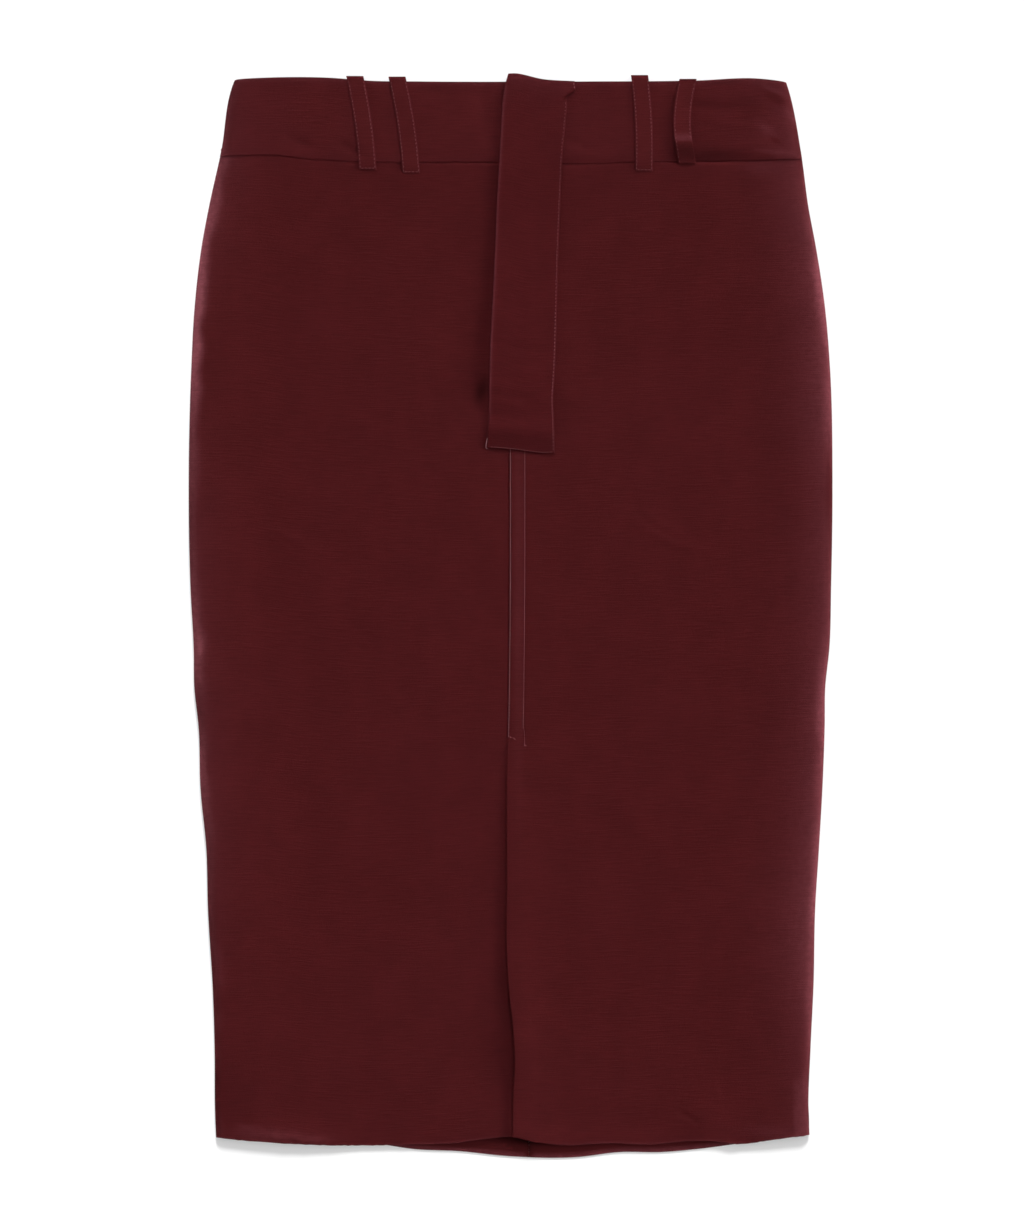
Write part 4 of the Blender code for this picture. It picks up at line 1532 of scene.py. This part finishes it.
@dataclass
class FlyTab:
    """The long tab over the fly: its left edge stands free and its right edge is sewn down.

    It passes over the waist seam in one long slope, where what it lies on has a short step. Its
    length and width are round figures, for spacing and shares. Where its painted highlight starts
    and ends is given in shares of its length.
    """

    wardrobe: Wardrobe
    length: float = 0.27
    width: float = 0.048
    wall: float = 0.0009
    rest_gap: float = 0.0003
    pitch: float = 0.0016
    step_reach: float = 0.045
    # Painted highlight along the free left edge.
    left_highlight: float = 0.17
    left_highlight_from: tuple[float, float] = (0.02, 0.05)
    left_highlight_to: tuple[float, float] = (0.9, 0.94)
    paint_width: float = 0.0016
    top_paling: float = 0.07
    top_paling_reach: float = 0.04
    foot_shade: float = 0.16
    foot_shade_from: tuple[float, float] = (0.948, 0.972)
    ear_shade: float = 0.5
    ear_shade_from: tuple[float, float] = (0.02, 0.028)
    ear_shade_to: tuple[float, float] = (0.046, 0.054)
    edge_highlight: float = 0.02
    lift_power: float = 1.5
    lift: Line = Line((
        (-0.006, 0.0), (0.03, 0.0003), (0.08, 0.0013), (0.12, 0.0017), (0.16, 0.0021),
        (0.205, 0.0025), (0.22, 0.0026), (0.23, 0.0012), (0.238, -0.0003), (0.268, -0.0004),
    ))
    creases: tuple[Crease, ...] = crease_set(
        (0.006, 0.1925, 0.018, 0.0035, 86.0, -0.0004, 0.002),
        (-0.002, 0.226, 0.016, 0.0035, 82.0, -0.0006, -0.002),
        (0.01, 0.209, 0.02, 0.006, 88.0, 0.0004, 0.002), (0.006, 0.25, 0.03, 0.0065, 88.0, 0.0014),
        (0.01, 0.11, 0.05, 0.008, 4.0, 0.0003), (0.016, 0.03, 0.013, 0.005, -50.0, 0.0003),
    )

    def surface(self, share: Grid, across: Grid) -> Grid:
        """Outer points at shares of its length and its width.

        It lies on the band and the lap, and its left edge is lifted by (1 - across)^power.

        Args:
            share: shares from the top to the foot, as a column.
            across: shares from the left to the right edge, as a row.

        Returns:
            The grid of points.
        """
        left_down = blend(CUT.tab_top.rows[0][1], CUT.tab_foot.rows[0][1], share)
        right_down = blend(CUT.tab_top.rows[-1][1], CUT.tab_foot.rows[-1][1], share)
        x = blend(CUT.tab_left.at(left_down), CUT.tab_right.at(right_down), across)
        down = blend(CUT.tab_top.at(x), CUT.tab_foot.at(x), share)
        seam = CUT.waist_seam.at(x)
        lapped = CUT.panel_top + CUT.lap_rise
        under = blend(CUT.band_top, lapped, ease(seam, seam + self.step_reach, down))
        lift = self.lift.at(down) * (1.0 - across) ** self.lift_power
        height = under - CUT.droop(x, down) + self.rest_gap + self.wall + lift
        return CUT.to_points(x, down, height + creased(self.creases, x, down))

    def rub(self, share: Grid, across: Grid) -> Grid:
        """Painted highlight along the left edge, paler towards the top, painted shade at the foot
        and beside the ear.

        Args:
            share: shares from the top to the foot, as a column.
            across: shares from the left to the right edge, as a row.

        Returns:
            The painted light at each place.
        """
        rub = self.left_highlight * bell(across * self.width, self.paint_width)
        rub = rub * ease(*self.left_highlight_from, share) * (1.0 - ease(*self.left_highlight_to, share))
        rub = rub + self.top_paling * np.exp(-share / self.top_paling_reach)
        rub = rub - self.foot_shade * ease(*self.foot_shade_from, share)
        notch = ease(*self.ear_shade_from, share) - ease(*self.ear_shade_to, share)
        return rub - self.ear_shade * notch * bell((1.0 - across) * self.width, self.paint_width)

    def build(self) -> None:
        """Builds the tab."""
        share = spaced(self.length, self.pitch, self.wall)[:, None]
        across = spaced(self.width, self.pitch, self.wall)
        points, rub = self.surface(share, across), self.rub(share, across)
        shell = Shell("fly_tab_cloth", points, self.wall, rub, self.edge_highlight)
        lay_out(shell, self.wardrobe, Slot.TAB)


@dataclass(frozen=True)
class Loop:
    """One belt loop: a strip from the waist edge to below the waist seam.

    Bow is how far its middle lies aside, arch how far it stands off the band, tilt how much higher
    its right edge lies than its left one, and buckle the height of the fold in its lower half.
    """

    name: str
    top_x: float
    top_down: float
    foot_x: float
    foot_down: float
    bow: float
    arch: float
    tilt: float
    buckle: float


@dataclass
class BeltLoops:
    """The four belt loops of the front.

    Where the fold and the painted shade of a buckled loop start and end is given in shares of its
    length, and so are how far the painted highlight on its crest lies before the top of the fold
    and how wide it is.
    """

    wardrobe: Wardrobe
    front: FrontLayer
    band: Waistband
    wall: float = 0.0004
    rest_gap: float = 0.0001
    width: float = 0.0123
    pitch: float = 0.0011
    buckle_from: float = 0.12
    buckle_top: float = 0.71
    buckle_end: float = 0.955
    buckle_power: float = 2.2
    # Painted highlight on the crest of the fold.
    crest_highlight: float = 0.2
    crest_lead: float = 0.01
    crest_width: float = 0.045
    buckle_shade: float = 0.27
    shade_from: tuple[float, float] = (0.02, 0.07)
    tilt_power: float = 0.5
    edge_highlight: float = 0.06
    edge_highlight_width: float = 0.0011
    loops: tuple[Loop, ...] = (
        Loop("belt_loop_1", -0.112, -0.004, -0.1026, 0.0634, 0.0014, 0.0, 0.0003, 0.0),
        Loop("belt_loop_2", -0.0817, -0.0036, -0.0713, 0.066, 0.0015, 0.0, 0.0003, 0.0),
        Loop("belt_loop_3", 0.0928, -0.0048, 0.096, 0.0646, 0.0014, 0.0001, -0.0001, 0.0),
        Loop("belt_loop_4", 0.1277, -0.0018, 0.1271, 0.0592, -0.004, 0.0, -0.0002, 0.0022),
    )

    def carried(self, x: Grid, down: Grid) -> Grid:
        """Outer height of the band and of the panel below it, which the loops lie on.

        Args:
            x: places across, all on one side.
            down: places down.

        Returns:
            The height at each place, with one even step from the band to the panel.
        """
        side = Side.LEFT if x.mean() < 0 else Side.RIGHT
        seam = CUT.waist_seam.at(x)
        below = ease(seam, seam + CUT.step_reach, down)
        band, panel = self.band.height(x, down), self.front.height(side, x, down)
        return blend(band, panel, below) - CUT.droop(x, down)

    def surface(self, loop: Loop, share: Grid, across: Grid) -> Grid:
        """Outer points of one loop.

        The fold of a buckled loop rises slowly and falls by 1 - t^power, with t from 0 at its
        crest to 1 at its end. The arch is sin^2 of half a turn along the loop.

        Args:
            loop: which loop.
            share: shares from its top to its foot, as a column.
            across: shares from its left to its right edge.

        Returns:
            The grid of points.
        """
        middle = blend(loop.top_x, loop.foot_x, share) + loop.bow * np.sin(math.pi * share)
        x = middle + self.width * (across - 0.5)
        down = np.broadcast_to(blend(loop.top_down, loop.foot_down, share), x.shape)
        arch = loop.arch * np.sin(math.pi * share) ** 2
        rise = ease(self.buckle_from, self.buckle_top, share)
        fall = np.clip((share - self.buckle_top) / (self.buckle_end - self.buckle_top), 0.0, 1.0)
        buckle = loop.buckle * rise * (1.0 - fall**self.buckle_power)
        tilt = np.maximum(loop.tilt * across, -loop.tilt * (1.0 - across))
        tilt = tilt * np.sin(math.pi * share) ** self.tilt_power
        height = self.carried(x, down) + self.rest_gap + self.wall
        return CUT.to_points(x, down, height + arch + tilt + buckle)

    def rub(self, loop: Loop, share: Grid, across: Grid) -> Grid:
        """Painted highlights along its side edges, and the painted highlight on the crest and the
        painted shade below the fold of a loop that is buckled.

        Args:
            loop: which loop.
            share: shares from its top to its foot, as a column.
            across: shares from its left to its right edge.

        Returns:
            The painted light at each place.
        """
        near_side = np.minimum(across, 1.0 - across) * self.width
        past = np.sign(loop.buckle) * (share - self.buckle_top)
        hidden = ease(*self.shade_from, past)
        crest = np.sign(loop.buckle) * bell(past + self.crest_lead, self.crest_width)
        pale = self.edge_highlight * bell(near_side, self.edge_highlight_width) * (1.0 - hidden)
        return pale + self.crest_highlight * crest - self.buckle_shade * hidden

    def build(self) -> None:
        """Builds every loop."""
        for loop in self.loops:
            length = loop.foot_down - loop.top_down
            share = spaced(length, self.pitch, self.wall)[:, None]
            across = spaced(self.width, self.pitch, self.wall)
            points = self.surface(loop, share, across)
            shell = Shell(f"{loop.name}_cloth", points, self.wall, self.rub(loop, share, across))
            lay_out(shell, self.wardrobe, Slot.LOOP)


@dataclass
class Stitching:
    """Runs of topstitching; each stitch is a short arched thread whose ends dip into the cloth.

    Fill is a stitch's share of its pitch, the last ring says how near to its tips the outer rings
    lie, and its middle line is sunk by a share of its radius.
    """

    wardrobe: Wardrobe
    pitch: float = 0.0021
    fill: float = 0.66
    radius: float = 0.00016
    proud: float = 0.00008
    rings: int = 6
    sides: int = 6
    last_ring: float = 0.97
    sunk: float = 0.4

    def run(self, name: str, path: Grid, slot: Slot, weight: float = 1.0) -> bpy.types.Object:
        """Builds one run of stitches along a path on the cloth's outer surface.

        A stitch is a tube whose radius is r sqrt(1 - s^2) and whose middle line rises by
        (1 - s^2) of its proud height, with s from about -1 at one end to 1 at the other.

        Args:
            name: the piece's name.
            path: (n, 3) points along the surface.
            slot: the slot of the cloth that it sews.
            weight: its thread's thickness, as a share of the usual one.

        Returns:
            The piece.
        """
        length = np.concatenate([[0.0], np.cumsum(np.linalg.norm(np.diff(path, axis=0), axis=1))])
        count = max(1, int(length[-1] / self.pitch))
        step = length[-1] / count
        centres = (np.arange(count) + 0.5) * step
        s = np.sin(np.linspace(-0.5, 0.5, self.rings) * math.pi * self.last_ring)
        at = centres[:, None] + s * step * self.fill / 2
        middle = np.stack([np.interp(at, length, path[:, i]) for i in range(3)], -1)
        radius = self.radius * weight
        middle[..., 2] += self.proud * (1.0 - s**2) - radius * self.sunk
        ahead = np.gradient(middle, axis=1)
        ahead /= np.linalg.norm(ahead, axis=-1, keepdims=True)
        aside = np.cross(ahead, (0.0, 0.0, 1.0))
        aside /= np.linalg.norm(aside, axis=-1, keepdims=True)
        above = np.cross(aside, ahead)
        turn = np.linspace(0.0, 2 * math.pi, self.sides, endpoint=False)
        thick = radius * np.sqrt(1.0 - s**2)[None, :, None, None]
        cosine, sine = np.cos(turn)[:, None], np.sin(turn)[:, None]
        corners = middle[:, :, None] + thick * (
            aside[:, :, None] * cosine + above[:, :, None] * sine)
        piece = mesh_object(name, corners.reshape(-1, 3), self._faces(count))
        self.wardrobe.sew(piece, slot)
        LOG.info("%s: %d stitches", name, count)
        return piece

    def _faces(self, count: int) -> Grid:
        """Quads round every stitch, with its two ends closed by folding each end ring shut.

        Args:
            count: how many stitches there are.

        Returns:
            (m, 4) indices into the corners.
        """
        ring, side = np.meshgrid(np.arange(self.rings - 1), np.arange(self.sides), indexing="ij")
        after = (side + 1) % self.sides
        one = np.stack([ring * self.sides + side, ring * self.sides + after,
                        (ring + 1) * self.sides + after, (ring + 1) * self.sides + side], -1)
        one = one.reshape(-1, 4)
        half = self.sides // 2
        fold = np.arange(half - 1)
        first = np.stack([fold, self.sides - 1 - fold, self.sides - 2 - fold, fold + 1], -1)
        last = first[:, ::-1] + (self.rings - 1) * self.sides
        block = np.concatenate([one, first, last])
        start = np.arange(count)[:, None, None] * self.rings * self.sides
        return (block[None] + start).reshape(-1, 4)


@dataclass
class CentreFrontSewing:
    """The two rows down the centre front, and the slanted bar and tacks at the top of the vent.

    A row gives its label, where it ends and its weight. A tack gives its two ends and its weight.
    """

    stitching: Stitching
    front: FrontLayer
    top: float = 0.26
    rows: tuple[tuple[str, float, float], ...] = (("outer", 0.472, 1.0), ("inner", 0.466, 0.6))
    row_points: int = 90
    lift: float = 0.00012
    tack_points: int = 8
    tack_lift: float = 0.00008
    tacks: tuple[tuple[float, float, float, float, float], ...] = (
        (-0.0003, 0.4712, 0.0006, 0.4724, 1.5),
        (0.0014, 0.4712, 0.004, 0.4744, 0.45),
        (0.0092, 0.4777, 0.012, 0.4777, 0.6),
        (0.01, 0.467, 0.0103, 0.4775, 0.36),
    )

    def height(self, x: Grid, down: Grid) -> Grid:
        """Outer height of the right front near its edge, in its row of stitches.

        Args:
            x: places across.
            down: places down.

        Returns:
            The height at each place.
        """
        vent = self.front.vent_lift.at(down) * bell(x - CUT.lap_edge.at(down), CUT.vent_reach)
        lift = vent - self.front.stitch_sink + self.lift
        return self.front.height(Side.RIGHT, x, down) + lift

    def build(self) -> None:
        """Builds both rows, the bar and the tacks."""
        for inset, (label, foot, weight) in zip(self.front.stitch_inset, self.rows):
            down = np.linspace(self.top, foot, self.row_points)
            x = CUT.lap_edge.at(down) + inset
            path = CUT.to_points(x, down, self.height(x, down))
            self.stitching.run(f"centre_front_{label}_row", path, Slot.PANEL, weight)
        for number, (x0, down0, x1, down1, weight) in enumerate(self.tacks, 1):
            x = np.linspace(x0, x1, self.tack_points)
            down = np.linspace(down0, down1, self.tack_points)
            path = CUT.to_points(x, down, self.height(x, down) + self.tack_lift)
            self.stitching.run(f"vent_tack_{number}", path, Slot.PANEL, weight)


@dataclass(frozen=True)
class SewnRow:
    """One row: its two ends in shares of an edge, the points of its path and its stitches."""

    name: str
    ends: tuple[float, float]
    points: int
    weight: float
    pitch: float = Stitching.pitch
    fill: float = Stitching.fill

    @property
    def shares(self) -> Grid:
        """Shares of the edge that its path goes through."""
        return np.linspace(*self.ends, self.points)


@dataclass
class EdgeSewing:
    """Rows along the tab's right edge and foot, a thread end there, and rows round each loop.

    Places of rows are shares of the width of what they sew, and of a loop's length for its foot.
    The tail's pitch is longer than the tail, which makes it one long stitch.
    """

    stitching: Stitching
    tab: FlyTab
    loops: BeltLoops
    inset: float = 0.0009
    side_rows: tuple[SewnRow, ...] = (
        SewnRow("tab_side_upper_row", (0.056, 0.62), 100, 0.32, 0.0026, 0.6),
        SewnRow("tab_side_lower_row", (0.62, 0.995), 100, 0.58, 0.0026, 0.6),
    )
    foot_row: SewnRow = SewnRow("tab_foot_row", (0.06, 0.97), 40, 0.6, 0.0021, 0.55)
    ear_row: SewnRow = SewnRow("tab_ear_row", (0.004, 0.021), 8, 0.6)
    ear_place: float = 0.985
    tail: tuple[tuple[float, float], ...] = (
        (-0.0165, 0.256), (-0.0172, 0.259), (-0.0178, 0.2625), (-0.0174, 0.264), (-0.0158, 0.2644),
    )
    tail_lift: float = 0.0001
    tail_pitch: float = 1.0
    tail_weight: float = 1.1
    tail_fill: float = 0.98
    tail_rings: int = 12
    loop_row: SewnRow = SewnRow("row", (0.05, 0.99), 60, 0.36, 0.0027, 0.58)
    loop_places: tuple[tuple[str, float], ...] = (("left", 0.07), ("right", 0.93))
    buckled_weight: float = 0.26
    loop_foot_row: SewnRow = SewnRow("foot_row", (0.08, 0.92), 12, 0.4)
    loop_foot: float = 0.985

    def sew(self, row: SewnRow, path: Grid, slot: Slot) -> None:
        """Sews one row along a path with its own pitch, fill and weight."""
        stitching = replace(self.stitching, pitch=row.pitch, fill=row.fill)
        stitching.run(row.name, path, slot, row.weight)

    def tab_rows(self) -> None:
        """Sews the tab's side, foot and ear, and lays the thread end at its foot."""
        side = np.array([1.0 - self.inset / self.tab.width])
        for row in self.side_rows:
            self.sew(row, self.tab.surface(row.shares[:, None], side)[:, 0], Slot.TAB)
        foot = np.array([[1.0 - self.inset / self.tab.length]])
        self.sew(self.foot_row, self.tab.surface(foot, self.foot_row.shares)[0], Slot.TAB)
        path = self.tab.surface(self.ear_row.shares[:, None], np.array([self.ear_place]))[:, 0]
        self.sew(self.ear_row, path, Slot.TAB)
        x, down = np.array(self.tail).T
        height = self.tab.surface(foot, np.array([0.0]))[0, 0, 2] + self.tail_lift
        tail = replace(self.stitching, pitch=self.tail_pitch, fill=self.tail_fill,
                       rings=self.tail_rings)
        tail.run("tab_thread_end", CUT.to_points(x, down, height), Slot.TAB, self.tail_weight)

    def loop_rows(self, loop: Loop) -> None:
        """Sews one loop's two sides, the right one no farther than its fold, and its foot.

        Args:
            loop: which loop.
        """
        buckled = loop.buckle > 0
        for label, place in self.loop_places:
            row = replace(self.loop_row, name=f"{loop.name}_{label}_row")
            if buckled:
                row = replace(row, weight=self.buckled_weight)
            if buckled and label == "right":
                row = replace(row, ends=(row.ends[0], self.loops.buckle_top))
            path = self.loops.surface(loop, row.shares[:, None], np.array([place]))[:, 0]
            self.sew(row, path, Slot.LOOP)
        if not buckled:
            row = replace(self.loop_foot_row, name=f"{loop.name}_foot_row")
            path = self.loops.surface(loop, np.array([[self.loop_foot]]), row.shares)[0]
            self.sew(row, path, Slot.LOOP)

    def build(self) -> None:
        """Sews every row of the tab and of the loops."""
        self.tab_rows()
        for loop in self.loops.loops:
            self.loop_rows(loop)


class Lit(Enum):
    """What a lamp lights: the whole set, the skirt alone or the floor alone."""

    ALL = "whole_set"
    SKIRT = "skirt_pieces"
    FLOOR = "floor_piece"


@dataclass(frozen=True)
class Lamp:
    """A soft far lamp: its direction, what a level surface gets of it and its width in degrees."""

    name: str
    place: tuple[float, float, float]
    level: float
    spread: float
    lit: Lit


@dataclass
class Studio:
    """A pale floor, four soft lamps under a white sky, and a camera straight overhead."""

    floor_half: float = 20.0
    floor_drop: float = 0.0003
    sky: float = 0.56
    lamps: tuple[Lamp, ...] = (
        Lamp("beyond_waist", (0.1, 1.0, 0.45), 0.56, 18.0, Lit.ALL),
        Lamp("right_strip", (1.0, 0.1, 0.28), 0.52, 20.0, Lit.SKIRT),
        Lamp("left_strip", (-1.0, 0.1, 0.32), 0.18, 22.0, Lit.SKIRT),
        Lamp("floor_fill", (0.0, 0.0, 1.0), 0.15, 30.0, Lit.FLOOR),
    )
    lens_mm: float = 85.0
    film_mm: float = 36.0
    clip: tuple[float, float] = (0.01, 50.0)
    centre_px: tuple[float, float] = (510.5, 615.06)

    def floor(self) -> None:
        """A square plane just under the skirt."""
        half, z = self.floor_half, -self.floor_drop
        sides = half * np.array([(-1, -1), (1, -1), (1, 1), (-1, 1)])
        corners = np.column_stack([sides, np.full(len(sides), z)])
        plane = mesh_object("floor", corners, np.array([[0, 1, 2, 3]]))
        plane.data.materials.append(FloorFinish().material())

    def light(self, lamp: Lamp) -> None:
        """Hangs one lamp, which gives a level surface its level: energy pi level / cos(tilt).

        Args:
            lamp: which lamp.
        """
        source = bpy.data.lights.new(lamp.name, "SUN")
        towards = Vector(lamp.place).normalized()
        source.energy = lamp.level * math.pi / towards.z
        source.angle = math.radians(lamp.spread)
        hung = bpy.data.objects.new(lamp.name, source)
        hung.location = lamp.place
        hung.rotation_euler = towards.to_track_quat("Z", "Y").to_euler()
        bpy.context.scene.collection.objects.link(hung)
        if lamp.lit is not Lit.ALL:
            hung.light_linking.receiver_collection = self.receivers(lamp.lit)

    def receivers(self, lit: Lit) -> bpy.types.Collection:
        """Gathers the floor, or every piece but the floor.

        Args:
            lit: which of them a lamp lights.

        Returns:
            The collection.
        """
        if lit.value not in bpy.data.collections:
            pieces = bpy.data.collections.new(lit.value)
            for thing in bpy.context.scene.objects:
                if thing.type == "MESH" and (thing.name == "floor") == (lit is Lit.FLOOR):
                    pieces.objects.link(thing)
        return bpy.data.collections[lit.value]

    def camera(self) -> None:
        """Looks straight down, as far off as makes a pixel of the photo its real size.

        The distance is the picture's long side in metres times lens over film, above the panels.
        """
        camera = bpy.data.cameras.new("overhead")
        camera.lens, camera.sensor_width = self.lens_mm, self.film_mm
        height = max(PHOTO_SIZE_PX) * METRES_PER_PX * self.lens_mm / self.film_mm
        viewer = bpy.data.objects.new("overhead", camera)
        x = (PHOTO_SIZE_PX[0] / 2 - self.centre_px[0]) * METRES_PER_PX
        y = (self.centre_px[1] - PHOTO_SIZE_PX[1] / 2) * METRES_PER_PX
        viewer.location = (x, y, height + CUT.panel_top)
        camera.clip_start, camera.clip_end = self.clip
        bpy.context.scene.collection.objects.link(viewer)
        bpy.context.scene.camera = viewer

    def build(self) -> None:
        """Builds the floor, the lights, the sky and the camera."""
        self.floor()
        for lamp in self.lamps:
            self.light(lamp)
        world = bpy.data.worlds.new("soft_sky")
        world.use_nodes = True
        sky = world.node_tree.nodes["Background"]
        sky.inputs["Color"].default_value = (1.0, 1.0, 1.0, 1.0)
        sky.inputs["Strength"].default_value = self.sky
        scene = bpy.context.scene
        scene.world = world
        scene.view_settings.view_transform = "Standard"
        self.camera()


def main() -> None:
    """Loads the frame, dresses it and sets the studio."""
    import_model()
    wardrobe = Wardrobe()
    front, band, tab = FrontLayer(wardrobe), Waistband(wardrobe), FlyTab(wardrobe)
    loops, stitching = BeltLoops(wardrobe, front, band), Stitching(wardrobe)
    pieces = (BackLayer(wardrobe), front, band, tab, loops,
              CentreFrontSewing(stitching, front), EdgeSewing(stitching, tab, loops), Studio())
    for piece in pieces:
        piece.build()
        LOG.info("built %s", type(piece).__name__)


if __name__ == "__main__":
    main()
